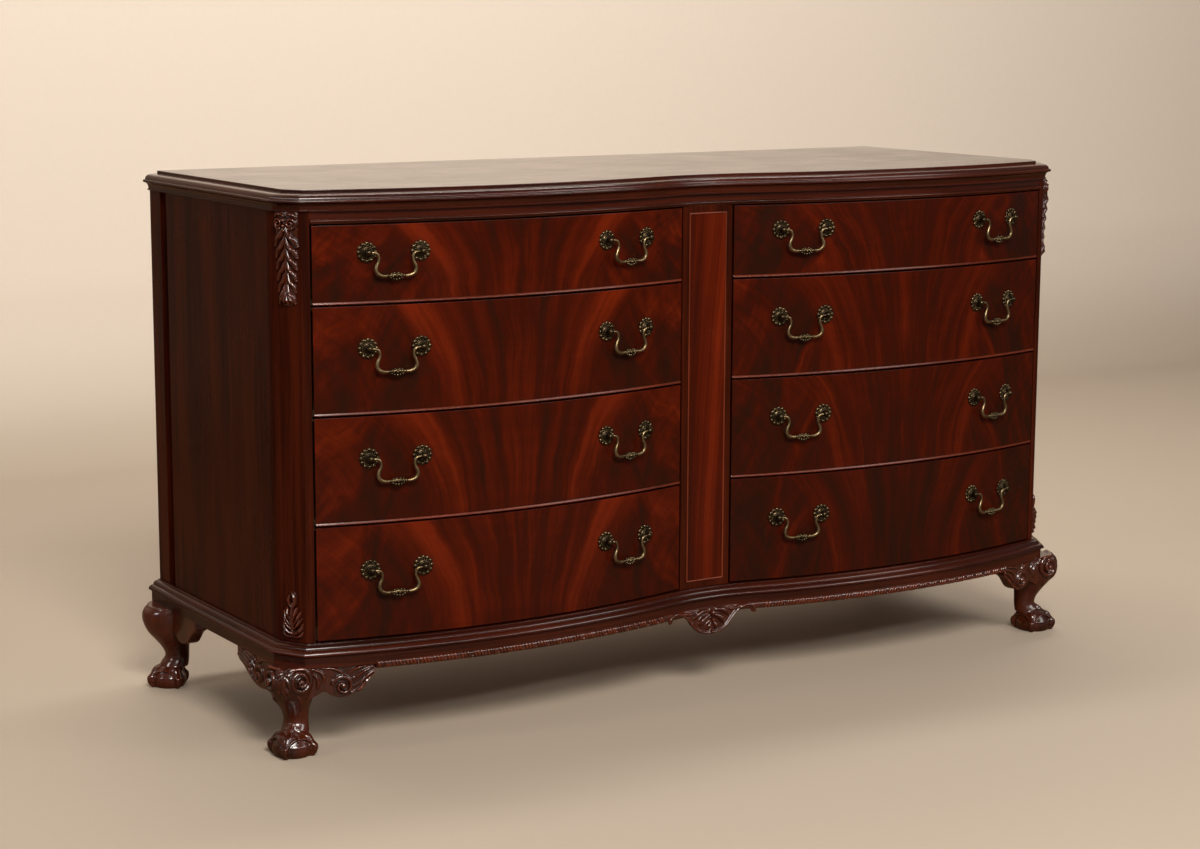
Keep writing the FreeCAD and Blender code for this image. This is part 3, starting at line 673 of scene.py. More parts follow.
def sweepPlan(bm, profile, closing, span=None, keep=None, edge=None):
    # profile points are (out, z, rear); closing is "ring", "ends" or "caps"
    layer = bm.loops.layers.float_vector.get("grain") or bm.loops.layers.float_vector.new("grain")
    rows, runs = [], {}
    for out, z, rear in profile:
        line = planLine(out, rear)
        if span:
            line = trimmed(line, span)
        if keep:
            line = [line[k] for k in keep]
            line[0], line[-1] = ((math.copysign(edge, x), y) for x, y in (line[0], line[-1]))
        row, travel = [], 0.0
        for k, (x, y) in enumerate(line):
            travel += math.dist(line[k - 1], line[k]) if k else 0.0
            vert = bm.verts.new((x, y, z))
            runs[vert] = (out, z, travel)
            row.append(vert)
        rows.append(row)
    faces = []
    pairs = list(zip(rows, rows[1:]))
    if closing != "caps":
        pairs.append((rows[-1], rows[0]))
    for low, high in pairs:
        faces += [bm.faces.new((low[k], low[k + 1], high[k + 1], high[k])) for k in range(len(low) - 1)]
    for face in faces:
        for loop in face.loops:
            loop[layer] = runs[loop.vert]
    ends = []
    if closing in ("ring", "caps"):
        ends += [bm.faces.new((low[-1], low[0], high[0], high[-1])) for low, high in pairs]
    if closing == "caps":
        ends += [bm.faces.new(rows[0]), bm.faces.new(rows[-1])]
    if closing == "ends":
        ends += [bm.faces.new([row[0] for row in rows]), bm.faces.new([row[-1] for row in rows])]
    for face in ends:
        for loop in face.loops:
            x, y, z = loop.vert.co
            loop[layer] = (y, z, x)


def mouldedPiece(bm, name, ease, node, sharp=28):
    piece = soften(newPiece(name, bm, [mouldWood], sharp), ease, sharp)
    settle(piece, "case", "mahogany", node)


# top board: slab edge, ledge, ovolo and bead
topBoard = {"slabInset": 14.5 * mm, "slabEdge": 4.5 * mm, "slabRound": 1.2 * mm, "ledgeEdge": -2 * mm,
            "ledgeFall": 1.1 * mm, "ovoloOut": 8 * mm, "beadOut": 9.4 * mm, "bead": 2.6 * mm,
            "beadTurn": (-1.4, 1.3), "beadLift": 0.3 * mm, "soffitIn": 2 * mm, "quirk": 0.2 * mm,
            "ease": 0.4 * mm}


def makeTop():
    t = topBoard
    slabBottom = plan["topZ"] - t["slabEdge"]
    beadMiddle = plan["topBottom"] + t["bead"] + t["beadLift"]
    slabRound = t["slabRound"]
    line = [(t["beadOut"] - t["soffitIn"], plan["topBottom"])]
    line += arc(t["beadOut"], beadMiddle, t["bead"], t["bead"], 10, t["beadTurn"])
    quirk = line[-1][1] + t["quirk"]
    ovoloRise = slabBottom - t["ledgeFall"] - quirk
    line += arc(t["ledgeEdge"], quirk, t["ovoloOut"] - t["ledgeEdge"], ovoloRise, 10)
    line += [(-t["slabInset"], slabBottom)]
    line += arc(-t["slabInset"] - slabRound, plan["topZ"] - slabRound, slabRound, slabRound, 4)
    bm = bmesh.new()
    sweepPlan(bm, toBack(line), "caps")
    mouldedPiece(bm, "topBoard", t["ease"], "top_panel")


# cornice under the top, a cove over a frieze with a bead
cornice = {"coveTopOut": 9 * mm, "coveFootOut": 2.2 * mm, "filletOut": 4 * mm, "fillet": 2.5 * mm,
           "friezeOut": -2.5 * mm, "friezeReach": 746.5 * mm, "beadOut": 3 * mm, "beadHeight": 5 * mm,
           "beadFoot": 1.6 * mm, "beadTurn": (-1.5, 1.5), "width": 22 * mm, "ease": 0.3 * mm}


def makeCornice():
    c = cornice
    filletTop = plan["friezeTop"] + c["fillet"]
    halfBead = c["beadHeight"] / 2
    beadMiddle = plan["friezeBottom"] + c["beadFoot"] + halfBead
    frieze = [(-c["width"], plan["friezeTop"]), (-c["width"], plan["friezeBottom"])]
    frieze += [(0, plan["friezeBottom"])]
    frieze += arc(0, beadMiddle, c["beadOut"], halfBead, 10, c["beadTurn"])
    frieze += [(c["friezeOut"], beadMiddle + halfBead), (c["friezeOut"], plan["friezeTop"])]
    crown = [(-c["width"], plan["topBottom"]), (-c["width"], plan["friezeTop"])]
    crown += [(c["filletOut"], plan["friezeTop"]), (c["filletOut"], filletTop)]
    coveReach, coveRise = c["coveFootOut"] - c["coveTopOut"], plan["topBottom"] - filletTop
    crown += arc(c["coveTopOut"], filletTop, coveReach, coveRise)
    bm = bmesh.new()
    sweepPlan(bm, toBack(crown), "ends")
    # frieze and bead stop at the posts
    front = [k for k, (x, y) in enumerate(planLine(0)) if y < 0 and abs(x) < c["friezeReach"] + tolerance]
    sweepPlan(bm, toBack(frieze), "ends", keep=front, edge=c["friezeReach"])
    mouldedPiece(bm, "cornice", c["ease"], "cornice_frame")


# base: lip, round, torus, cove and fascia, with a rail at the back
base = {"lipOut": 4 * mm, "lipHeight": 1.5 * mm, "roundOut": 13 * mm, "roundHeight": 7 * mm,
        "torusOut": 22 * mm, "torusHeight": 8 * mm, "coveHeight": 5 * mm, "fasciaOut": 16 * mm,
        "railWidth": 45 * mm, "ease": 0.4 * mm}


def makeBase():
    b = base
    lipBottom = plan["baseTop"] - b["lipHeight"]
    roundBottom = lipBottom - b["roundHeight"]
    torusBottom = roundBottom - b["torusHeight"]
    coveBottom = torusBottom - b["coveHeight"]
    line = [(b["fasciaOut"], plan["legTop"])]
    line += arc(b["torusOut"], coveBottom, b["fasciaOut"] - b["torusOut"], b["coveHeight"])
    line += arc(b["roundOut"], torusBottom, b["torusOut"] - b["roundOut"], b["torusHeight"])
    line += arc(b["lipOut"], roundBottom, b["roundOut"] - b["lipOut"], b["roundHeight"])
    line += [(b["lipOut"], plan["baseTop"])]
    line = [p for k, p in enumerate(line) if k == 0 or math.dist(p, line[k - 1]) > 1e-6]
    inner, rear = -b["railWidth"], plan["backY"] - b["railWidth"]
    bm = bmesh.new()
    sweepPlan(bm, toBack(line) + [(inner, plan["baseTop"], rear), (inner, plan["legTop"], rear)], "ring")
    mouldedPiece(bm, "baseMoulding", b["ease"], "base_moulding")


def makeCorniceFrames():
    # the flat frames inside the moulding keep their CAD form
    bm = mergedCopy("cornice_frame")
    todo, moulding = set(bm.faces), []
    while todo:
        island, rim = set(), {todo.pop()}
        while rim:
            island |= rim
            joints = [e for face in rim for e in face.edges if len(e.link_faces) == 2]
            rim = {face for e in joints for face in e.link_faces} - island
        todo -= island
        across = [v.co.x for face in island for v in face.verts]
        if min(across) < 0 < max(across):
            moulding += island
    bmesh.ops.delete(bm, geom=moulding, context="FACES")
    settle(newPiece("corniceFrames", bm, [innerWood]), "case", "inner_wood", "cornice_frame")


makeTop()
makeCornice()
makeCorniceFrames()
makeBase()
print("mouldings swept")


# side panels and posts keep their CAD form, and run up to the cornice
def makeBoards():
    for side in ("left", "right"):
        for name, node in (("SidePanel", "_side_panel"), ("CornerPost", "_corner_post")):
            board = softCopy(side + name, side + node, top=plan["friezeTop"])
            settle(board, "case", "mahogany", side + node)


# plain upright with its framing bead, and a strip of veneer inside the bead
stile = {"ease": 0.5 * mm, "veneerHalf": 36.0 * mm, "veneerRise": 0.35 * mm, "veneerSunk": 1 * mm,
         "veneerEdge": 14.6 * mm, "veneerEase": 0.2 * mm, "figureMiddle": 0.33, "figureWidth": 6.5,
         "sheet": -3.4, "bead": 1.5 * mm, "beadHalf": 37.3 * mm, "beadEdge": 13.3 * mm, "beadRise": 0.4 * mm,
         "beadSides": 12}


def makeStile():
    s = stile
    settle(softCopy("centreStile", "center_stile", s["ease"]), "case", "mahogany", "center_stile")
    bm = bmesh.new()
    low = Vector((-s["veneerHalf"], plan["faceY"] - s["veneerRise"], plan["baseTop"] + s["veneerEdge"]))
    high = Vector((s["veneerHalf"], plan["faceY"] + s["veneerSunk"], plan["friezeBottom"] - s["veneerEdge"]))
    bmesh.ops.create_cube(bm, size=1.0)
    for vert in bm.verts:
        vert.co = Vector([low[k] + (high[k] - low[k]) * (vert.co[k] + 0.5) for k in range(3)])
    strip = soften(newPiece("stileVeneer", bm, [flameVeneer]), s["veneerEase"])
    where = meshArray(strip.data.vertices, "co", 3)
    lie = np.stack([s["figureMiddle"] + where[:, 0] / (s["figureWidth"] * s["veneerHalf"]),
                    (where[:, 2] - low.z) / (high.z - low.z), np.full(len(where), s["sheet"])], 1)
    settle(setVectors(strip, "veneer", lie), "case", "flame_veneer")
    bm = bmesh.new()
    across, faceY = s["beadHalf"], plan["faceY"] - s["beadRise"]
    lower, upper = plan["baseTop"] + s["beadEdge"], plan["friezeBottom"] - s["beadEdge"]
    corners = [(x, faceY, z) for x, z in (
        (-across, lower), (across, lower), (across, upper), (-across, upper))]
    for k in range(4):
        tubeAlong(bm, (corners[k - 1], corners[k]), [s["bead"]] * 2, s["beadSides"])
    # the bead's pale line wood is a painted highlight
    settle(layGrain(newPiece("stileBead", bm, [lineHighlightWood])), "case", "mahogany")


makeBoards()
makeStile()
for name in ["back_panel", "center_partition"] + [row + "_drawer_frame" for row in drawerRows]:
    coat(name, innerWood)
print("case boards finished")


# drawer fronts: bowed field of flame veneer over a fine bead; edge and bead are drawn in mm, inwards and out
drawer = {"thickness": 22 * mm, "columns": 44, "fieldSide": 4 * mm, "levels": 8, "fieldFoot": 9 * mm,
          "fieldTop": 5 * mm, "veneerFrom": 4.3 * mm, "lowestBead": 0.1,
          "sheet": 3.7, "bankSheets": 2.9, "rowSheets": 0.2,
          "edge": ((0.0, -0.5), (0.2, -0.15), (0.6, 0.0), (1.6, 0.0)),
          "bead": ((0.0, -0.9), (0.3, 0.05), (0.9, 0.75), (1.5, 0.95), (2.2, 0.8), (3.0, 0.42), (3.8, 0.02),
                   (4.3, -0.25), (4.8, -0.12), (5.2, 0.0))}


def makeFront(bank, row):
    d = drawer
    node = f"{bank}_{row}_drawer_front"
    low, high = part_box(node)
    sign = 1 if bank == "right" else -1
    sheet = d["sheet"] + d["bankSheets"] * sign + d["rowSheets"] * drawerRows.index(row)
    woods = [flameVeneer, beadHighlightWood, boardWood, innerWood]
    edge, bead = (np.array(d[k]) * mm for k in ("edge", "bead"))
    if row == "bottom":
        bead = bead * (1, d["lowestBead"])  # the base moulding takes the place of the lowest bead
    field = np.linspace(low.x + d["fieldSide"], high.x - d["fieldSide"], d["columns"])
    columns = np.concatenate([low.x + edge[:, 0], field, high.x - edge[::-1, 0]])
    field = np.linspace(low.z + d["fieldFoot"], high.z - d["fieldTop"], d["levels"])
    levels = np.concatenate([low.z + bead[:, 0], field, high.z - edge[::-1, 0]])
    bm = bmesh.new()
    lie = bm.verts.layers.float_vector.new("veneer")
    grain = bm.verts.layers.float_vector.new("grain")

    def station(x, z, out):
        across, reach = abs(x) - plan["bankX"], bowRadius + out
        turn = math.asin(across / bowRadius)
        placeX = sign * (plan["bankX"] + reach * math.sin(turn))
        vert = bm.verts.new((placeX, bowY - reach * math.cos(turn), z))
        vert[lie] = (across * sign / plan["halfChord"], (z - low.z) / (high.z - low.z), sheet)
        vert[grain] = (z, vert.co.y, x)
        return vert

    def depth(x, z):
        near = min(x - low.x, high.x - x, high.z - z)
        return np.interp(near, *edge.T) + np.interp(z - low.z, *bead.T)

    def skin(lower, upper, wood):
        for k in range(len(columns) - 1):
            face = bm.faces.new((lower[k], lower[k + 1], upper[k + 1], upper[k]))
            face.material_index = woods.index(wood)

    grid = [[station(x, z, depth(x, z)) for x in columns] for z in levels]
    rear = [[station(x, z, -d["thickness"]) for x in columns] for z in (levels[0], levels[-1])]
    for j in range(len(levels) - 1):
        middle = (levels[j] + levels[j + 1]) / 2 - low.z
        # the bead rows take the paler bead wood, a painted highlight; the bottom row keeps the veneer
        skin(grid[j], grid[j + 1], flameVeneer if middle > d["veneerFrom"] or row == "bottom" else beadHighlightWood)
    skin(grid[0], rear[0], boardWood)
    skin(grid[-1], rear[1], boardWood)
    skin(*rear, innerWood)
    for k in (0, -1):
        end = bm.faces.new([line[k] for line in grid] + [rear[1][k], rear[0][k]])
        end.material_index = woods.index(boardWood)
    piece = newPiece(f"{bank}{row.capitalize()}Front", bm, woods, 30)
    settle(piece, f"{bank}_{row}_drawer", "flame_veneer", node)


for bank in ("left", "right"):
    for row in drawerRows:
        makeFront(bank, row)
        coat(f"{bank}_{row}_drawer_box", boxWood)
print("drawer fronts veneered")


# lathe-turned form round the local z axis
def turned(bm, profile, sides):
    rows = []
    for radius, height in profile:
        if radius < tolerance:
            rows.append([bm.verts.new((0, 0, height))] * sides)
        else:
            rows.append([bm.verts.new((radius * math.cos(a), radius * math.sin(a), height))
                         for a in roundTurns(sides)])
    for low, high in zip(rows, rows[1:]):
        for k in range(sides):
            corners = list(dict.fromkeys((low[k - 1], low[k], high[k], high[k - 1])))
            if len(corners) > 2:
                bm.faces.new(corners)


def runTree(tree, mesh, values, name):
    # evaluates a node tree on a mesh and returns the plain result
    holder = bpy.data.objects.new(name, mesh)
    scene.collection.objects.link(holder)
    modifier = holder.modifiers.new("nodes", "NODES")
    modifier.node_group = tree
    for item in tree.interface.items_tree:
        if item.in_out == "INPUT" and item.name in values:
            modifier[item.identifier] = values[item.name]
    graph = bpy.context.evaluated_depsgraph_get()
    result = bpy.data.meshes.new_from_object(holder.evaluated_get(graph))
    holder.modifiers.clear()
    bpy.data.objects.remove(holder)
    return result


def makePetalTree():
    tree, given, result = newGroup("petalRing", [
        ("Geometry", "NodeSocketGeometry", None), ("Petals", "NodeSocketInt", 12),
        ("Radius", "NodeSocketFloat", 0.012), ("Length", "NodeSocketFloat", 0.004),
        ("Width", "NodeSocketFloat", 0.003), ("Height", "NodeSocketFloat", 0.002),
        ("Lift", "NodeSocketFloat", 0.001)], [("Geometry", "NodeSocketGeometry")], "GeometryNodeTree")
    ring = put(tree, "GeometryNodeMeshCircle", {"Vertices": given["Petals"], "Radius": given["Radius"]})
    ball = put(tree, "GeometryNodeMeshUVSphere", {"Segments": 10, "Rings": 6, "Radius": 1.0})
    size = combined(tree, given["Length"], given["Width"], given["Height"])
    petal = put(tree, "GeometryNodeTransform", {"Geometry": ball.outputs["Mesh"], "Scale": size})
    outward = put(tree, "GeometryNodeInputPosition").outputs[0]
    heading = put(tree, "FunctionNodeAlignRotationToVector", {"Vector": outward}, axis="X", pivot_axis="Z")
    placed = put(tree, "GeometryNodeInstanceOnPoints", {
        "Points": ring.outputs["Mesh"], "Rotation": heading.outputs[0], "Instance": petal.outputs[0]})
    lift = combined(tree, 0.0, 0.0, given["Lift"])
    raised = put(tree, "GeometryNodeTransform", {"Geometry": placed.outputs[0], "Translation": lift})
    solid = put(tree, "GeometryNodeRealizeInstances", {"Geometry": raised.outputs[0]})
    both = tree.nodes.new("GeometryNodeJoinGeometry")
    tree.links.new(solid.outputs[0], both.inputs[0])
    tree.links.new(given["Geometry"], both.inputs[0])
    coated = put(tree, "GeometryNodeSetMaterial", {"Geometry": both.outputs[0], "Material": blackBrass})
    tree.links.new(coated.outputs[0], result["Geometry"])
    return tree


# dished plate, drawn in mm as radius and height, with a lobed rim, a ring of beads and a ball-headed post
rosette = {"plate": ((0.0, 0.0), (12.6, 0.0), (13.6, 0.8), (13.0, 1.9), (11.4, 2.3), (10.2, 1.5), (9.2, 1.3),
                     (8.4, 2.6), (7.0, 3.3), (5.8, 2.7), (5.0, 2.9), (3.9, 4.4), (3.3, 6.4)),
           "rim": {"Petals": 12, "Radius": 13.0 * mm, "Length": 3.0 * mm, "Width": 3.5 * mm,
                   "Height": 2.2 * mm, "Lift": 1.2 * mm},
           "beads": {"Petals": 18, "Radius": 9.6 * mm, "Length": 1.1 * mm, "Width": 1.3 * mm,
                     "Height": 1.2 * mm, "Lift": 1.9 * mm},
           "headRadius": 5.2 * mm, "headFrom": 0.75, "postReach": 12 * mm, "sides": 28, "span": 89 * mm,
           "widen": 1.07}


def makeRosetteMesh():
    # stands on local z = 0
    r = rosette
    profile = [(radius * mm, height * mm) for radius, height in r["plate"]]
    profile += [(r["headRadius"] * math.sin(a), r["postReach"] - r["headRadius"] * math.cos(a))
                for a in np.linspace(r["headFrom"], math.pi, 9)]
    profile[-1] = (0.0, profile[-1][1])
    bm = bmesh.new()
    turned(bm, profile, r["sides"])
    plate = poured(bm, bpy.data.meshes.new("rosettePlate"))
    petalTree = makePetalTree()
    rimmed = runTree(petalTree, plate, r["rim"], "rosetteRim")
    return runTree(petalTree, rimmed, r["beads"], "rosetteBeads")


# half of a bail from its pivot to its middle, in mm: along the pivot line and up, and its girths
# leaves have the same two places, then half their width, depth and height
bail = {"line": ((38.6, 0.0), (34.6, -0.3), (30.4, -2.4), (28.0, -8.0), (28.8, -14.5), (31.6, -20.5),
                 (32.8, -27.0), (30.2, -33.0), (23.5, -36.4), (14.5, -37.0), (7.0, -36.2), (0.0, -35.4)),
        "girth": (1.7, 2.1, 2.4, 2.2, 2.4, 2.8, 3.2, 3.2, 2.9, 2.5, 2.2, 2.2), "sides": 12,
        "leaves": ((0.0, -37.4, 3.2, 5.4, 3.4), (0.0, -42.8, 2.3, 3.6, 2.9), (4.7, -42.0, 2.2, 3.6, 2.7),
                   (8.8, -40.2, 2.4, 3.4, 2.3), (3.3, -32.8, 2.5, 3.6, 2.1), (7.8, -33.6, 2.3, 3.4, 1.8),
                   (6.2, -37.2, 2.7, 4.7, 2.5), (10.9, -36.9, 2.2, 4.0, 2.5), (14.3, -36.7, 1.5, 3.7, 3.3)),
        "leafDepth": 0.86, "pin": 1.5 * mm, "pinSides": 10, "pinEnds": (38.2 * mm, 43.2 * mm)}


def blob(bm, centre, size, segments=12, rings=8):
    shape = Matrix.Translation(centre) @ Matrix.Diagonal((*size, 1))
    bmesh.ops.create_uvsphere(bm, u_segments=segments, v_segments=rings, radius=1.0, matrix=shape)


def makeBailMesh():
    # local x along the pivot line, y outwards, z up
    half = curved([(a, h, g) for (a, h), g in zip(bail["line"], bail["girth"])], 46) * mm
    whole = np.vstack([half, (half * (-1, 1, 1))[-2::-1]])
    bm = bmesh.new()
    tubeAlong(bm, [(a, 0, h) for a, h, _ in whole], [g for _, _, g in whole], bail["sides"])
    for sign in (-1, 1):
        tubeAlong(bm, [(sign * a, 0, 0) for a in bail["pinEnds"]], [bail["pin"]] * 2, bail["pinSides"])
    rod = len(bm.faces)
    for a, h, across, deep, tall in bail["leaves"]:
        for sign in ((-1, 1) if a else (1,)):
            blob(bm, Vector((sign * a, 0, h)) * mm, (across * mm, deep * bail["leafDepth"] * mm, tall * mm))
    bm.faces.ensure_lookup_table()
    for face in bm.faces[rod:]:
        face.material_index = 1
    return poured(bm, bpy.data.meshes.new("bail"))


def pulled(mesh, name, places, materials):
    # copies of one casting at several places, as one brass piece
    bm = bmesh.new()
    for place in places:
        copy = mesh.copy()
        copy.transform(place)
        bm.from_mesh(copy)
        bpy.data.meshes.remove(copy)
    return markCavity(newPiece(name, bm, materials, 50), 1.1, 1)


def fitPulls():
    rosetteMesh = makeRosetteMesh()
    bailMesh = makeBailMesh()
    up = Vector((0, 0, 1))
    wider = Matrix.Diagonal((rosette["widen"], rosette["widen"], 1, 1))
    rosettes = {}
    for joint in frame["joints"]:
        if not joint["child"].endswith("_bail"):
            continue
        bank, row, _, _ = joint["child"].split("_")
        pivot = Vector(joint["pos_m"])
        along = Vector(joint["axis"]).normalized() * -1
        outward = along.cross(up)
        hang = Matrix((along, outward * (1 if outward.y < 0 else -1), up)).transposed().to_4x4()
        place = Matrix.Translation(pivot) @ hang
        piece = pulled(bailMesh, joint["child"].replace("_", ""), [place], [agedBrass, blackBrass])
        settle(piece, joint["child"], "antique_brass", joint["child"])
        for sign in (-1, 1):
            head = pivot + along * (sign * rosette["span"] / 2)
            middle = Vector((plan["bankX"] * (1 if bank == "right" else -1), bowY, 0))
            away = Vector((head.x - middle.x, head.y - middle.y, 0)).normalized()
            root = Vector((middle.x, middle.y, head.z)) + away * bowRadius
            stand = Matrix((up.cross(away), up, away)).transposed().to_4x4()
            rosettes.setdefault((bank, row), []).append(Matrix.Translation(root) @ stand @ wider)
    for (bank, row), places in rosettes.items():
        piece = pulled(rosetteMesh, f"{bank}{row.capitalize()}Rosettes", places, [blackBrass])
        settle(piece, f"{bank}_{row}_drawer", "antique_brass", f"{bank}_{row}_drawer_pulls")


fitPulls()
print("pulls fitted")


# carving: rounded ridges along curves, read as a height over a flat drawing
def spiral(centre, radius, turns, start, hand, width, height, eye=0.17, count=46):
    share = np.linspace(0, 1, count)
    reach = radius * (eye + (1 - eye) * (1 - share) ** 0.85)
    angle = math.radians(start) + hand * 2 * math.pi * turns * share
    line = np.stack([centre[0] + reach * np.cos(angle), centre[1] + reach * np.sin(angle)], 1)
    return line, width * (0.45 + 0.55 * (1 - share)), height * (0.8 + 0.35 * share)


def lobe(points, width, height, count=16, tip=0.25, root=0.5, low=0.45):
    # leaf lobe, widest past its middle
    line = curved(points, count)
    share = np.linspace(0, 1, count)
    swell = np.interp(share, (0, 0.55, 0.82, 1), (root, 1, 0.85, tip))
    return line, width * swell, height * np.interp(share, (0, 0.6, 1), (low, 1, 0.55))


def knob(centre, radius, height):
    line = np.array([centre, (centre[0] + 1e-5, centre[1])])
    return line, np.array([radius, radius]), np.array([height, height])


def ridges(flat, strands, groove=0.22):
    # height of the carving at flat points, with a cut line round each ridge
    top = np.zeros(len(flat))
    cut = np.zeros(len(flat))
    for line, widths, heights in strands:
        room = 1.6 * widths.max()
        near = np.where(((flat > line.min(0) - room) & (flat < line.max(0) + room)).all(1))[0]
        if not len(near):
            continue
        spot = flat[near]
        best = np.zeros(len(near))
        edge = np.full(len(near), 9.0)
        depth = np.zeros(len(near))
        for k in range(len(line) - 1):
            run = line[k + 1] - line[k]
            t = np.clip((spot - line[k]) @ run / (run @ run + 1e-18), 0, 1)
            away = np.linalg.norm(spot - line[k] - t[:, None] * run, axis=1)
            width = widths[k] + (widths[k + 1] - widths[k]) * t
            height = heights[k] + (heights[k + 1] - heights[k]) * t
            x = away / width
            best = np.maximum(best, height * np.sqrt(np.maximum(0, 1 - x * x)))
            closer = x < edge
            edge = np.where(closer, x, edge)
            depth = np.where(closer, height, depth)
        top[near] = np.maximum(top[near], best)
        cut[near] = np.minimum(cut[near], -groove * depth * np.exp(-((edge - 1.12) / 0.16) ** 2))
    return np.where(top > 0, top, cut)


def mirrorStrands(strands):
    return [(line * (-1, 1), widths, heights) for line, widths, heights in strands]


def inMetres(strands):
    return [(line * mm, widths * mm, heights * mm) for line, widths, heights in strands]


def flatGrid(spanU, spanV, step):
    # points of a flat drawing row by row, with their number in a row and the number of rows
    us, vs = (np.arange(low, high + step / 2, step) for low, high in (spanU, spanV))
    return np.stack(np.meshgrid(us, vs), -1).reshape(-1, 2), len(us), len(vs)


def cellCorners(j, k, wide):
    first = j * wide + k
    return first, first + 1, first + wide + 1, first + wide


def reliefMesh(name, spanU, spanV, step, height, place):
    # a closed slab whose face is the height over (u, v); place turns (u, v, height) into the case frame
    flat, wide, tall = flatGrid(spanU, spanV, step)
    raised = height(flat)
    floor = np.full(len(flat), raised.min() - 0.5 * mm)
    cells = [cellCorners(j, k, wide) for j in range(tall - 1) for k in range(wide - 1)]
    rim = list(range(wide)) + [j * wide + wide - 1 for j in range(1, tall)]
    rim += list(range(len(flat) - 2, len(flat) - wide - 1, -1)) + [j * wide for j in range(tall - 2, 0, -1)]
    lower = {v: len(flat) + n for n, v in enumerate(rim)}
    points = np.vstack([place(flat, raised), place(flat[rim], floor[rim])])
    faces = cells + [(rim[n - 1], lower[rim[n - 1]], lower[rim[n]], rim[n]) for n in range(len(rim))]
    faces.append(tuple(lower[v] for v in rim))
    mesh = bpy.data.meshes.new(name)
    mesh.from_pydata(points.tolist(), [], faces)
    bm = bmesh.new()
    bm.from_mesh(mesh)
    return poured(bm, mesh)


bowHit, sideHit = cantCorners(0)
cantMiddle = (bowHit + sideHit) / 2
cantAlong = (sideHit - bowHit).normalized()
cantOut = Vector((cantAlong.y, -cantAlong.x))


def onCant(flat, raised):
    x = cantMiddle.x + cantAlong.x * flat[:, 0] + cantOut.x * raised
    y = cantMiddle.y + cantAlong.y * flat[:, 0] + cantOut.y * raised
    return np.stack([x, y, flat[:, 1]], 1)


def bothSides(mesh, name):
    for side, shape in (("right", mesh), ("left", mirroredMesh(mesh, name))):
        piece = markCavity(newPiece(side + name, shape, [carvedWood], 60), 1.5, 1)
        settle(piece, "case", "carved_mahogany", "carved_ornaments")


# hanging acanthus on the canted corner, drawn in mm; its blank has half width and rise by share of height
console = {"foot": plan["friezeTop"] / mm - 146, "height": 146, "tall": 145.5, "half": 22.5, "step": 0.6 * mm,
           "widths": ((0, 8), (0.05, 13), (0.13, 13), (0.22, 10), (0.45, 14), (0.72, 18.5), (0.86, 21),
                      (0.97, 21), (1, 20)),
           "rises": ((0, 3), (0.05, 9), (0.12, 8.5), (0.22, 6), (0.45, 7), (0.72, 10.5), (0.86, 13),
                     (0.96, 12), (1, 10)),
           "ground": -1.2 * mm, "blankShare": 0.62, "leaves": 6, "leafPitch": 17.8}


def makeConsole():
    c = console
    z = c["foot"]

    def blank(flat):
        v = (flat[:, 1] / mm - z) / c["height"]
        half, rise = (np.interp(v, *np.array(c[k]).T) * mm for k in ("widths", "rises"))
        x = np.abs(flat[:, 0]) / half
        return np.where(x < 1, rise * np.sqrt(np.maximum(0, 1 - x * x)) ** 0.8, c["ground"])

    strands = [lobe([(0, z + 112), (0, z + 70), (0, z + 24)], 1.5, 3.4, 20, 0.8, 0.9)]
    pair = [spiral((11.5, z + 128), 8.6, 1.6, 250, 1, 2.7, 5.2)]
    pair += [lobe([(3, z + 140), (8, z + 142), (16, z + 141), (20, z + 135)], 2.4, 4.2)]
    for k in range(c["leaves"]):
        root, reach = z + 127 - c["leafPitch"] * k, 20.0 - 1.1 * k
        pair.append(lobe([(1.0, root), (3.2, root - 9), (0.42 * reach, root - 18), (0.78 * reach, root - 25),
                          (reach, root - 35)], 4.3 - 0.2 * k, 8.0 - 0.4 * k, 24, 0.5, 0.5, 0.1))
    pair += [lobe([(1.5, z + 24), (5, z + 15), (10.5, z + 8), (13.5, z + 5)], 3.0, 6.2),
             lobe([(0.5, z + 20), (2.5, z + 10), (5, z + 2)], 2.6, 5.8)]
    strands += pair + mirrorStrands(pair)
    strands += [knob((0, z + 133), 3.6, 7.5), knob((0, z + 124.5), 3.2, 6.8), knob((0, z + 117), 2.7, 6.0)]

    def height(flat):
        # leaves that reach past the blank stand by themselves
        carved, leaves = blank(flat), ridges(flat, inMetres(strands))
        loose = np.where(leaves > 0.6 * mm, leaves + 1 * mm, carved)
        return np.where(carved > 0, carved * c["blankShare"] + leaves, loose)

    spanU, spanV = (-c["half"] * mm, c["half"] * mm), (z * mm, (z + c["tall"]) * mm)
    bothSides(reliefMesh("Console", spanU, spanV, c["step"], height, onCant), "Console")


# upright palmette at the foot of the corner, drawn in mm over a soft swell
palmette = {"foot": plan["baseTop"] / mm + 8, "tall": 76.5, "half": 20, "step": 0.55 * mm,
            "ground": -1.0 * mm, "swell": 4.5 * mm, "swellAt": 28, "swellHalf": (13 * mm, 34 * mm)}


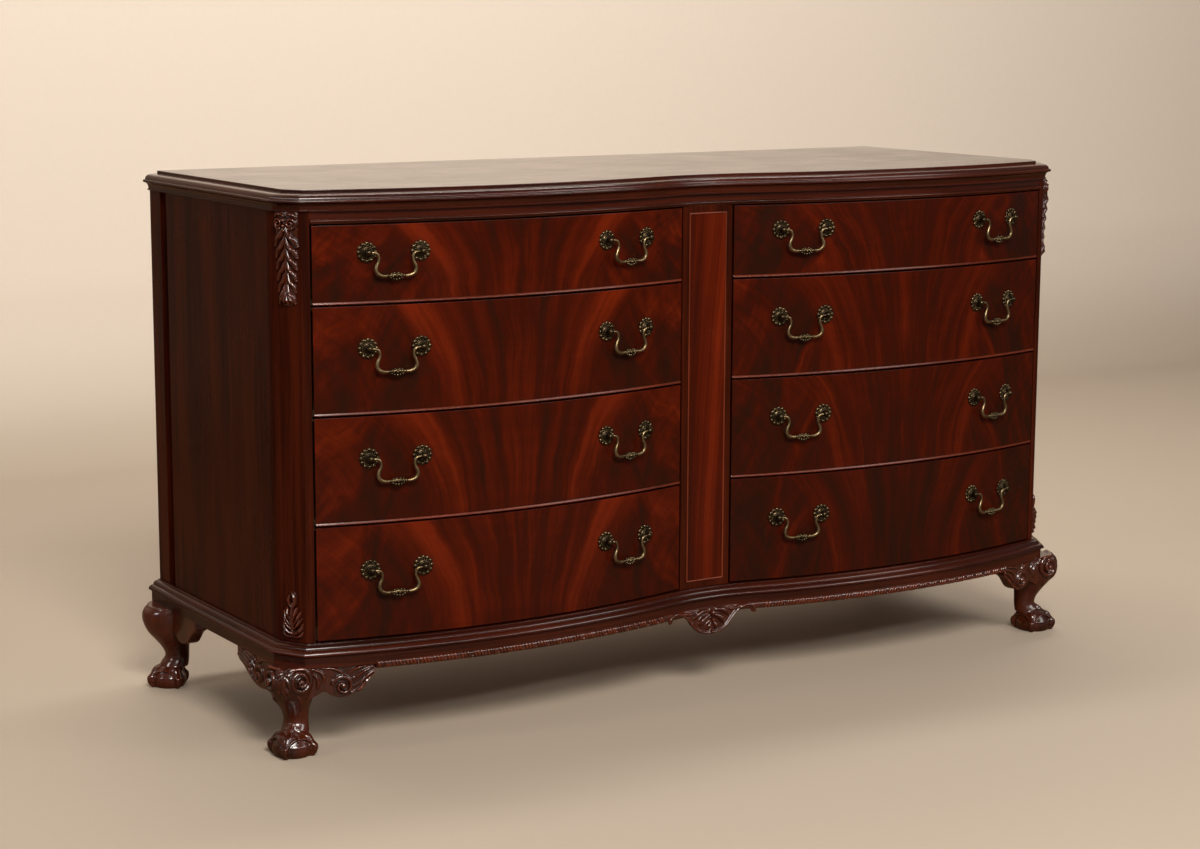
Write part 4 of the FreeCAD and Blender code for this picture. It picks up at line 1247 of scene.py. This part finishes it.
def makePalmette():
    p = palmette
    z = p["foot"]
    strands = [lobe([(0, z + 4), (0, z + 30), (0, z + 56)], 3.4, 6.5, 20, 0.5, 0.8),
               lobe([(0, z + 46), (-4.5, z + 56), (-3, z + 68), (2.5, z + 75)], 3.4, 7.5),
               lobe([(0, z + 46), (5, z + 54), (7, z + 62), (4.5, z + 69)], 2.8, 6.5)]
    pair = [lobe([(1.5, z + 26), (6, z + 37), (8.5, z + 49)], 2.7, 8.8, 16, 0.3),
            lobe([(2.5, z + 20), (10, z + 30), (15, z + 43)], 2.9, 8.6, 16, 0.3),
            lobe([(2.5, z + 14), (10, z + 21), (16.5, z + 32)], 2.6, 7.6, 16, 0.3),
            lobe([(1.5, z + 4), (8, z + 8), (14.5, z + 14), (18, z + 23)], 3.9, 7.2),
            lobe([(1, z + 1.5), (8, z + 1.5), (14.5, z + 4), (18, z + 10)], 2.9, 6.0)]
    strands += pair + mirrorStrands(pair) + [knob((0, z + 8), 4.2, 8.5)]

    def height(flat):
        carved = ridges(flat, inMetres(strands), 0.1)
        across, up = flat[:, 0], flat[:, 1] - (z + p["swellAt"]) * mm
        wide, tall = p["swellHalf"]
        swell = p["swell"] * np.exp(-(across / wide) ** 2 - (up / tall) ** 2)
        return np.where(carved > 0.4 * mm, carved + swell, p["ground"])

    spanU, spanV = (-p["half"] * mm, p["half"] * mm), (z * mm, (z + p["tall"]) * mm)
    bothSides(reliefMesh("Palmette", spanU, spanV, p["step"], height, onCant), "Palmette")


makeConsole()
makePalmette()
print("corner carvings cut")


def unite(bm, name, voxel, smooth):
    # one skin over overlapping solids
    piece = newPiece(name, bm, [carvedWood])
    joined = piece.modifiers.new("oneSkin", "REMESH")
    joined.mode = "VOXEL"
    joined.voxel_size = voxel
    eased = piece.modifiers.new("eased", "SMOOTH")
    eased.factor = 0.5
    eased.iterations = smooth
    return baked(piece)


# cartouche on the middle of the apron; its lower outline and swell are drawn in mm from the middle
shell = {"halfWidth": 94 * mm, "drop": 42.5 * mm, "rise": 5 * mm, "step": 0.8 * mm, "voxel": 0.9 * mm,
         "outline": ((0, -42.5), (12, -41.5), (24, -38), (34, -31), (43, -21), (51, -10.5), (59, -4),
                     (69, -1.5), (79, -3), (84, -13), (92, -14), (94, -4)),
         "swell": ((0, 8.5), (25, 7.0), (50, 3.5), (70, 2.5), (94, 2.2)), "deepest": 19 * mm,
         "sunk": 1.0 * mm}


def makeShell():
    s = shell
    top = plan["legTop"]
    border = [(3, -40), (22, -36), (35, -27), (46, -15), (56, -5.5), (67, 1), (79, 1.5), (88, -4), (89, -10)]
    pair = [lobe(border, 3.4, 5.4, 60, 0.9, 0.7),
            lobe([(10, 1), (21, 0), (31, -5), (37, -11)], 5.0, 6.5),
            lobe([(5, -8), (14, -11), (22, -17), (25, -23)], 5.4, 7.5),
            lobe([(2, -19), (7, -25), (10, -33)], 4.6, 7.0),
            lobe([(32, 1), (45, -2), (56, 0), (67, 3.5)], 2.6, 5.0)]
    strands = pair + mirrorStrands(pair)
    strands += [knob((0, -3), 6.4, 10), knob((0, -15), 4.0, 9.5), knob((0, -37), 3.6, 7)]
    flat, wide, tall = flatGrid((-s["halfWidth"], s["halfWidth"]), (-s["drop"], s["rise"]), s["step"])
    side = np.abs(flat[:, 0]) / mm
    low, swell = (np.interp(side, *np.array(s[k]).T) * mm for k in ("outline", "swell"))
    rise = np.where(flat[:, 1] > low, swell + np.maximum(0, ridges(flat, inMetres(strands), 0.2)), 0)
    rise = np.minimum(rise, s["deepest"])
    back = np.array([valleyAt(x, base["fasciaOut"] - s["sunk"]) for x in flat[:, 0]])
    bm = bmesh.new()
    front = [bm.verts.new((x, y - h, top + z)) for (x, z), y, h in zip(flat, back, rise)]
    rear = [bm.verts.new((x, y, top + z)) for (x, z), y in zip(flat, back)]
    kept = {}
    for j in range(tall - 1):
        for k in range(wide - 1):
            corners = cellCorners(j, k, wide)
            if all(rise[c] > 0 for c in corners):
                kept[(j, k)] = corners
    for (j, k), corners in kept.items():
        bm.faces.new([front[c] for c in corners])
        bm.faces.new([rear[c] for c in reversed(corners)])
        beside = ((j - 1, k), (j, k + 1), (j + 1, k), (j, k - 1))
        for n, other in enumerate(beside):
            if other not in kept:
                a, b = corners[n], corners[(n + 1) % 4]
                bm.faces.new((front[b], front[a], rear[a], rear[b]))
    bmesh.ops.delete(bm, geom=[v for v in bm.verts if not v.link_faces], context="VERTS")
    piece = unite(bm, "apronShell", s["voxel"], 4)
    piece.data.shade_smooth()
    settle(markCavity(piece, 1.5, 2), "case", "carved_mahogany", "carved_ornaments")


makeShell()
print("shell cut")


# apron strip with slanted reeds along its edge, a bead after every third
apron = {"reach": 658 * mm, "drop": 7 * mm, "rise": 5 * mm, "thickness": 14 * mm, "core": 3.6 * mm,
         "coreIn": 0.5 * mm, "shellGap": 93 * mm, "endGap": 3 * mm, "reedSeat": 0.9,
         "reeds": {"Pitch": 5.9 * mm, "Reed Length": 6.3 * mm, "Reed Width": 2.5 * mm, "Reed Depth": 2.6 * mm,
                   "Slant": -0.4, "Bead": 1.9 * mm, "Bead Fall": -2.2 * mm}}


def makeReedTree():
    tree, given, result = newGroup("reedRun", [
        ("Geometry", "NodeSocketGeometry", None), ("Pitch", "NodeSocketFloat", 0.007),
        ("Reed Length", "NodeSocketFloat", 0.006), ("Reed Width", "NodeSocketFloat", 0.003),
        ("Reed Depth", "NodeSocketFloat", 0.004), ("Slant", "NodeSocketFloat", 0.6),
        ("Bead", "NodeSocketFloat", 0.003), ("Bead Fall", "NodeSocketFloat", 0.0)],
        [("Geometry", "NodeSocketGeometry")], "GeometryNodeTree")
    path = put(tree, "GeometryNodeMeshToCurve", {"Mesh": given["Geometry"]})
    steps = {"Curve": path.outputs[0], "Length": given["Pitch"]}
    even = put(tree, "GeometryNodeResampleCurve", steps, mode="LENGTH")
    ball = put(tree, "GeometryNodeMeshUVSphere", {"Segments": 10, "Rings": 6, "Radius": 1.0}).outputs["Mesh"]
    reedSize = combined(tree, given["Reed Width"], given["Reed Depth"], given["Reed Length"])
    reed = put(tree, "GeometryNodeTransform", {"Geometry": ball, "Scale": reedSize}).outputs[0]
    lean = combined(tree, 0.0, given["Slant"], 0.0)
    leaning = put(tree, "GeometryNodeTransform", {"Geometry": reed, "Rotation": lean})
    beadSize = combined(tree, given["Bead"], given["Reed Depth"], given["Bead"])
    fall = combined(tree, 0.0, 0.0, given["Bead Fall"])
    bead = put(tree, "GeometryNodeTransform", {"Geometry": ball, "Translation": fall, "Scale": beadSize})
    tangent = put(tree, "GeometryNodeInputTangent").outputs[0]
    heading = put(tree, "FunctionNodeAlignRotationToVector", {"Vector": tangent}, axis="X", pivot_axis="Z")
    fourth = calc(tree, "MODULO", put(tree, "GeometryNodeInputIndex").outputs[0], 4.0)
    isBead = put(tree, "FunctionNodeCompare", {0: fourth, 1: 2.5}, operation="GREATER_THAN")
    isReed = put(tree, "FunctionNodeBooleanMath", {0: isBead.outputs[0]}, operation="NOT")
    both = tree.nodes.new("GeometryNodeJoinGeometry")
    for shape, chosen in ((leaning, isReed), (bead, isBead)):
        run = put(tree, "GeometryNodeInstanceOnPoints", {
            "Points": even.outputs[0], "Selection": chosen.outputs[0], "Instance": shape.outputs[0],
            "Rotation": heading.outputs[0]})
        tree.links.new(run.outputs[0], both.inputs[0])
    solid = put(tree, "GeometryNodeRealizeInstances", {"Geometry": both.outputs[0]})
    coated = put(tree, "GeometryNodeSetMaterial", {"Geometry": solid.outputs[0], "Material": carvedWood})
    tree.links.new(coated.outputs[0], result["Geometry"])
    return tree


def makeApron():
    a = apron
    top, out = plan["legTop"], base["fasciaOut"]
    low, high = top - a["drop"], top + a["rise"]
    middle, half = (low + high) / 2, (high - low) / 2
    bm = bmesh.new()
    strip = [(out, low), (out, top), (out - a["thickness"], top), (out - a["thickness"], low)]
    core = [(out - a["coreIn"], middle + half), (out - a["coreIn"], middle - half)]
    core += arc(out, middle, a["core"], half, 8, (-math.pi / 2, math.pi / 2))
    for profile in (strip, core):
        sweepPlan(bm, toBack(profile), "ends", a["reach"])
    tree = makeReedTree()
    seat = trimmed(planLine(out + a["core"] * a["reedSeat"]), a["reach"] - a["endGap"])
    for sign in (-1, 1):
        line = [p for p in seat if sign * p[0] > a["shellGap"]][::sign]
        mesh = bpy.data.meshes.new("reedLine")
        mesh.from_pydata([(x, y, middle) for x, y in line], [(k, k + 1) for k in range(len(line) - 1)], [])
        bm.from_mesh(runTree(tree, mesh, a["reeds"], "reeds"))
    piece = newPiece("gadroonApron", bm, [carvedWood], 40)
    settle(markCavity(piece, 0.9, 1), "case", "carved_mahogany", "gadroon_apron")


makeApron()
print("apron reeded")


# cabriole legs on claw-and-ball feet; the stem's rows are shares of the height, reach and half width
# plain lengths of the legs, feet and brackets are in mm
leg = {"heights": (1.0, 0.976, 0.94, 0.90, 0.84, 0.756, 0.674, 0.60, 0.508, 0.435, 0.38, 0.344, 0.30, 0.24),
       "outer": (0.76, 0.88, 0.955, 0.985, 0.98, 0.91, 0.786, 0.61, 0.404, 0.28, 0.235, 0.26, 0.36, 0.46),
       "inner": (0.64, 0.64, 0.63, 0.63, 0.62, 0.60, 0.58, 0.57, 0.56, 0.55, 0.545, 0.54, 0.53, 0.50),
       "wide": (1.0, 1.0, 1.0, 1.0, 0.98, 0.93, 0.87, 0.76, 0.60, 0.545, 0.525, 0.53, 0.56, 0.60),
       "sides": 32, "housed": 2, "carveFrom": 76 * mm, "carveFade": 12 * mm}
frontLeg = {"inset": 10, "reach": 50, "half": 38, "footAhead": 10, "heel": 1.0, "voxel": 1.0 * mm}
rearLeg = {"inset": 2, "backInset": 46, "reach": 53, "half": 43, "footAhead": 6, "heel": 0.82,
           "voxel": 1.1 * mm}


def addStem(bm, axis, ahead, reach, half):
    across = Vector((-ahead.y, ahead.x, 0))
    rows = zip(leg["heights"], leg["outer"], leg["inner"], leg["wide"])
    rings = []
    for height, outer, inner, wide in curved(list(rows), 44):
        level = plan["legTop"] * height + (leg["housed"] * mm if height > 0.99 else 0)
        centre = axis + ahead * (reach * (outer - inner) / 2 * mm) + Vector((0, 0, level))
        deep = reach * (outer + inner) / 2 * mm
        broad = half * wide * mm
        rings.append([bm.verts.new(centre + ahead * (deep * math.cos(t)) + across * (broad * math.sin(t)))
                      for t in roundTurns(leg["sides"])])
    joinRings(bm, rings)


# the foot is a low dome: a ball laid bare in four arches, with a claw between each two
foot = {"claws": (-90, 0, 90, 180), "turns": 144, "rings": 64, "top": 50, "bare": 4.8, "bareEdge": 1.4,
        "archFoot": 9, "archRise": 22, "lip": 1.8, "lipLift": 0.8, "lipHalf": 1.5,
        "domeZ": (0, 4, 8, 13, 19, 26, 31, 35, 38, 41, 45, 50),
        "dome": (33.5, 36, 37.4, 38.2, 36.8, 32, 28, 23.5, 15.5, 11, 8, 3),
        "clawZ": (0, 6, 13, 19, 24, 28, 34, 38, 43, 47, 50),
        "claw": (1.2, 3.4, 4.6, 5.6, 3.6, 3.2, 5.0, 4.2, 4.6, 2.6, 0.5),
        "clawWide": (3.0, 4.4, 5.4, 6.6, 5.6, 5.6, 6.8, 6.0, 6.0, 5.0, 4.0)}


def footRadius(angle, z, heel):
    f = foot
    radius = np.interp(z, f["domeZ"], f["dome"])
    turn = (angle + 180) % 360 - 180
    claws = np.array([c - 360 for c in f["claws"][-1:]] + list(f["claws"]) + [f["claws"][0] + 360])
    after = int(np.searchsorted(claws, turn, side="right"))
    low, high = claws[after - 1], claws[after]
    share = 2 * (turn - low) / (high - low) - 1
    arch = f["archFoot"] + f["archRise"] * math.sqrt(max(0.0, 1 - share * share))
    bare = min(1.0, max(0.0, (arch - z) / f["bareEdge"]))
    rise = f["lip"] * math.exp(-((z - arch - f["lipLift"]) / f["lipHalf"]) ** 2) - f["bare"] * bare
    away = math.radians(min(turn - low, high - turn)) * radius
    wide = np.interp(z, f["clawZ"], f["clawWide"])
    claw = np.interp(z, f["clawZ"], f["claw"]) * math.sqrt(max(0.0, 1 - (away / wide) ** 2))
    drawn = 1 + (heel - 1) * max(0.0, -math.cos(math.radians(turn)))
    return (radius + (max(rise, claw) if away < wide else rise)) * drawn


def addFoot(bm, centre, ahead, heel):
    across = Vector((-ahead.y, ahead.x, 0))
    rings = []
    for z in np.linspace(0, foot["top"], foot["rings"]):
        ring = []
        for k in range(foot["turns"]):
            angle = 360 * k / foot["turns"]
            radius = footRadius(angle, z, heel) * mm
            turn = math.radians(angle)
            ring.append(bm.verts.new(centre + ahead * (radius * math.cos(turn))
                                     + across * (radius * math.sin(turn)) + Vector((0, 0, z * mm))))
        rings.append(ring)
    joinRings(bm, rings)


# knee brackets: the front one sweeps out to the apron, the side one is a full scroll
# outlines are shares of the length and the drop
bracket = {"frontLength": 121, "sideLength": 164, "rearLength": 140, "drop": 54, "thickness": 22, "out": 14,
           "front": ((0.0, 1.0), (0.11, 0.94), (0.22, 0.83), (0.30, 0.74), (0.335, 0.74), (0.39, 0.82),
                     (0.46, 0.90), (0.55, 0.94), (0.64, 0.92), (0.72, 0.85), (0.78, 0.75), (0.84, 0.59),
                     (0.89, 0.46), (0.94, 0.37), (1.0, 0.30)),
           "side": ((0.0, 1.0), (0.12, 0.96), (0.22, 0.90), (0.28, 0.90), (0.36, 0.94), (0.44, 0.96),
                    (0.54, 0.94), (0.64, 0.86), (0.74, 0.72), (0.83, 0.57), (0.90, 0.48), (0.96, 0.42),
                    (1.0, 0.30))}


def addBracket(bm, start, heading, outward, length, outline):
    top = plan["legTop"]
    housed = Vector((0, 0, top + leg["housed"] * mm))
    line = [start + heading * (length * u * mm) + Vector((0, 0, top - bracket["drop"] * d * mm))
            for u, d in curved(outline, 44)]
    line += [start + heading * (length * mm) + housed, start + housed]
    front = [bm.verts.new(p) for p in line]
    rear = [bm.verts.new(p - outward * (bracket["thickness"] * mm)) for p in line]
    bm.faces.new(front)
    bm.faces.new(rear[::-1])
    for k in range(len(line)):
        bm.faces.new((front[k - 1], front[k], rear[k], rear[k - 1]))


def standFoot(piece):
    # flat sole on the floor
    bm = bmesh.new()
    bm.from_mesh(piece.data)
    cut = bmesh.ops.bisect_plane(bm, geom=bm.verts[:] + bm.edges[:] + bm.faces[:], plane_co=(0, 0, 0),
                                 plane_no=(0, 0, 1), clear_inner=True)
    bmesh.ops.holes_fill(bm, edges=[e for e in cut["geom_cut"] if isinstance(e, bmesh.types.BMEdge)])
    poured(bm, piece.data)


def carveFlank(where, normal, across, facing, strands, facingFrom=0.15, facingFade=0.35):
    # height on the vertices that face one way, drawn along one direction and up
    share = np.clip((normal @ np.array(facing) - facingFrom) / facingFade, 0, 1)
    flat = np.stack([where @ np.array(across), where[:, 2]], 1)
    return share * ridges(flat, inMetres(strands))


def kneeScrolls(knee, scroll, tip):
    # one flank: knee volute, bracket scroll with its boss, and fronds running out to the tip
    side = 1 if tip > knee[0] else -1
    top = plan["legTop"] / mm

    def at(share, z):
        return knee[0] + (tip - knee[0]) * share, top + z

    def beside(across, z):
        return scroll[0] + side * across, top + z

    hand = -side
    start = 150 if side > 0 else 30
    volute, eye = (knee[0], top + knee[1]), (scroll[0], top + scroll[1])
    strands = [spiral(volute, 20.5, 1.9, start, hand, 4.6, 6.2), knob(volute, 4.8, 7.5)]
    strands += [spiral(eye, 16.8, 1.3, start - 10 * hand, hand, 4.0, 5.6), knob(eye, 6.0, 7.8)]
    strands += [lobe([at(0.20, -2), at(0.29, -7), at(0.33, -16), at(0.31, -25)], 3.0, 4.4),
                lobe([at(0.16, -7), at(0.24, -15), at(0.26, -26), at(0.24, -35)], 2.9, 4.4),
                lobe([at(0.30, -1), beside(-14, -3), beside(-4, -8), beside(1, -13)], 2.6, 4.0),
                lobe([beside(13, -45), beside(27, -38), beside(40, -25), at(1.0, -14)], 2.6, 5.0, 24),
                lobe([beside(18, -34), beside(29, -27), beside(39, -17), at(0.97, -9)], 2.4, 4.8, 24),
                lobe([beside(17, -22), beside(26, -15), beside(36, -9), at(0.93, -5)], 2.4, 4.6, 24),
                lobe([beside(9, -12), beside(18, -6), beside(28, -3), at(0.88, -1.5)], 2.4, 4.4, 24)]
    strands += [lobe([at(-0.16, -3), at(-0.19, -12), at(-0.24, -23), at(-0.20, -32)], 3.2, 4.2),
                lobe([at(-0.02, -41), at(0.02, -47), at(0.03, -55)], 3.0, 3.2)]
    return strands


# places along the front and the side in mm, with heights from the top of the leg: knee, scroll and tip
flanks = {"front": ((783.5, -16), (711.0, -32), 654), "side": ((-226.0, -16), (-140.0, -31), -55)}


def makeFrontLeg():
    f = frontLeg
    axis = Vector((plan["halfWidth"] - f["inset"] * mm, (bowHit.y + sideHit.y) / 2, 0))
    ahead = Vector((1, -1, 0)).normalized()
    across = Vector((-ahead.y, ahead.x, 0))
    top = plan["legTop"] / mm
    bm = bmesh.new()
    addStem(bm, axis, ahead, f["reach"], f["half"])
    addFoot(bm, axis + ahead * (f["footAhead"] * mm), ahead, f["heel"])
    angle = math.asin((axis.x - bracket["frontLength"] * mm / 2 - plan["bankX"]) / bowRadius)
    outFront = Vector((math.sin(angle), -math.cos(angle), 0))
    alongFront = Vector((-math.cos(angle), -math.sin(angle), 0))
    frontStart = Vector((axis.x, bowAt(axis.x, 0), 0)) + outFront * (bracket["out"] * mm)
    addBracket(bm, frontStart, alongFront, outFront, bracket["frontLength"], bracket["front"])
    sideStart = Vector((plan["halfWidth"] + bracket["out"] * mm, axis.y, 0))
    addBracket(bm, sideStart, Vector((0, 1, 0)), Vector((1, 0, 0)), bracket["sideLength"], bracket["side"])
    piece = unite(bm, "RightFrontLeg", f["voxel"], 2)
    where = meshArray(piece.data.vertices, "co", 3)
    normal = meshArray(piece.data.vertices, "normal", 3)
    ridge = [lobe([(0, top - 1), (0, top - 15), (0, top - 35), (0, top - 49)], 5.5, 4.6, 20, 0.2, 0.9)]
    leaf = [lobe([(2, top - 7), (8, top - 15), (11, top - 25), (9, top - 33)], 3.0, 4.2),
            lobe([(1, top - 21), (6, top - 29), (8, top - 39)], 2.6, 3.8)]
    ridge += leaf + mirrorStrands(leaf)
    front = carveFlank(where, normal, (1, 0, 0), (0, -1, 0), kneeScrolls(*flanks["front"]))
    side = carveFlank(where, normal, (0, 1, 0), (1, 0, 0), kneeScrolls(*flanks["side"]))
    middle = carveFlank(where - np.array(axis), normal, across, ahead, ridge, 0.80, 0.12)
    total = np.where(np.abs(front) > np.abs(side), front, side)
    total = np.where(middle > total, middle, total)
    total *= np.clip((where[:, 2] - leg["carveFrom"]) / leg["carveFade"], 0, 1)
    piece.data.vertices.foreach_set("co", (where + normal * total[:, None]).ravel())
    piece.data.update()
    standFoot(piece)
    finishLeg(piece, "front")


def makeRearLeg():
    r = rearLeg
    axis = Vector((plan["halfWidth"] - r["inset"] * mm, plan["backY"] - r["backInset"] * mm, 0))
    ahead = Vector((1, 0, 0))
    bm = bmesh.new()
    addStem(bm, axis, ahead, r["reach"], r["half"])
    addFoot(bm, axis + ahead * (r["footAhead"] * mm), ahead, r["heel"])
    start = Vector((plan["halfWidth"] + bracket["out"] * mm, axis.y, 0))
    addBracket(bm, start, Vector((0, -1, 0)), ahead, bracket["rearLength"], bracket["front"])
    piece = unite(bm, "RightRearLeg", r["voxel"], 2)
    standFoot(piece)
    finishLeg(piece, "rear")


def finishLeg(piece, end):
    left = newPiece("left" + end.capitalize() + "Leg", mirroredMesh(piece.data, "left"), [carvedWood], 70)
    piece.data.shade_smooth()
    piece.name = "right" + end.capitalize() + "Leg"
    for side, shape in (("right", piece), ("left", left)):
        settle(markCavity(shape, 1.5, 2), "case", "carved_mahogany", f"{end}_{side}_leg")


makeFrontLeg()
makeRearLeg()
print("legs carved")


# plain pale floor that turns up into the backdrop
studio = {"floor": (0.47, 0.39, 0.31, 1), "mirrored": (0.12, 0.062, 0.028, 1), "wall": (0.82, 0.72, 0.62, 1),
          "speck": (0.3, 0.25, 0.2, 1), "speckSize": 60.0, "speckShare": 0.06, "bump": (0.1, 0.0005),
          "reach": 9.0, "wallY": 2.6, "wallTop": 5.0, "bend": 0.4}


def makeFloor():
    s = studio
    bm = bmesh.new()
    bendY = s["wallY"] - s["bend"]
    line = [(-s["reach"], 0.0)] + arc(bendY, s["bend"], s["bend"], s["bend"], 12, (-math.pi / 2, 0))
    line.append((s["wallY"], s["wallTop"]))
    rows = [[bm.verts.new((x, y, z)) for x in (-s["reach"], s["reach"])] for y, z in line]
    for low, high in zip(rows, rows[1:]):
        bm.faces.new((low[0], low[1], high[1], high[0]))
    material, tree, surface = newMaterial("paleFloor", Roughness=0.6, Specular_IOR_Level=0.25)
    place = objectPlace(tree)
    across, _, tall = parted(tree, place)
    # painted reflection: polished wood mirrors a browner floor and foot of the wall than those in view,
    # darker towards the left
    glossy = put(tree, "ShaderNodeLightPath").outputs["Is Glossy Ray"]
    ground = mixColour(tree, glossy, s["floor"], s["mirrored"])
    seen = spread(tree, tall, 0.0, 0.5)
    nearFoot = spread(tree, tall, 0.0, 0.4, 0.0, 0.25)
    mirrored = calc(tree, "ADD", nearFoot, spread(tree, tall, 0.75, 1.05, 0.0, 0.75))
    mirrored = times(tree, mirrored, spread(tree, across, -0.9, 0.4, 0.25, 1.0))
    share = timesAdd(tree, glossy, minus(tree, mirrored, seen), seen)
    colour = mixColour(tree, share, ground, s["wall"])
    speck = noise(tree, place, s["speckSize"], 3.0)
    colour = mixColour(tree, times(tree, speck, s["speckShare"]), colour, s["speck"])
    tree.links.new(colour, surface.inputs["Base Color"])
    addBump(tree, surface, speck, *s["bump"])
    behind = put(tree, "ShaderNodeNewGeometry").outputs["Backfacing"]  # nothing hides the back of the dresser
    tree.links.new(minus(tree, 1.0, behind), surface.inputs["Alpha"])
    floor = newPiece("studioFloor", bm, [material], 60)
    if floor.data.polygons[0].normal.z < 0:
        floor.data.flip_normals()


# lamps have their place, target, size, power and colour
lamps = {"keySoftbox": ((-1.5, -4.0, 3.6), (0, 0, 0.45), (1.8, 1.4), 220, (1.0, 0.95, 0.88)),
         "fillSoftbox": ((3.0, -3.4, 2.8), (0.2, 0, 0.4), (1.6, 1.6), 36, (1.0, 0.96, 0.92)),
         "edgeSoftbox": ((-4.2, 0.0, 2.4), (-0.78, -0.2, 0.5), (0.5, 0.9), 16, (1.0, 0.96, 0.92)),
         "longSoftbox": ((0.3, -4.3, 2.6), (0.0, 0, 0.5), (5.2, 0.24), 55, (1.0, 0.95, 0.90)),
         "wallWash": ((0.6, 1.0, 4.2), (0.9, 2.6, 0.9), (4.0, 0.8), 110, (1.0, 0.96, 0.91))}
air = {"Color": (1.0, 0.95, 0.88, 1), "Strength": 0.12}


def makeLight():
    for name, (place, target, size, power, colour) in lamps.items():
        lamp = bpy.data.lights.new(name, "AREA")
        lamp.shape = "RECTANGLE"
        lamp.size, lamp.size_y = size
        lamp.energy = power
        lamp.color = colour
        holder = bpy.data.objects.new(name, lamp)
        holder.location = place
        holder.rotation_euler = (Vector(target) - Vector(place)).to_track_quat("-Z", "Y").to_euler()
        scene.collection.objects.link(holder)
    world = bpy.data.worlds.new("studioAir")
    world.use_nodes = True
    for label, value in air.items():
        world.node_tree.nodes["Background"].inputs[label].default_value = value
    scene.world = world


view = {"place": (-2.4044, -3.7217, 1.1829), "lens": 74.565, "yaw": 32.166, "pitch": 9.605, "roll": 0.207}


def makeCamera():
    yaw, pitch, roll = (math.radians(view[k]) for k in ("yaw", "pitch", "roll"))
    look = Vector((math.sin(yaw) * math.cos(pitch), math.cos(yaw) * math.cos(pitch), -math.sin(pitch)))
    level = Vector((math.cos(yaw), -math.sin(yaw), 0))
    upright = level.cross(look)
    right = level * math.cos(roll) + upright * math.sin(roll)
    up = upright * math.cos(roll) - level * math.sin(roll)
    lens = bpy.data.cameras.new("photoCamera")
    lens.sensor_width = 36.0
    lens.sensor_fit = "HORIZONTAL"
    lens.lens = view["lens"]
    camera = bpy.data.objects.new("photoCamera", lens)
    turn = Matrix((right, up, -look)).transposed().to_4x4()
    camera.matrix_world = Matrix.Translation(view["place"]) @ turn
    scene.collection.objects.link(camera)
    scene.camera = camera


makeFloor()
makeLight()
makeCamera()
scene.view_settings.view_transform = "Standard"
print("studio set")
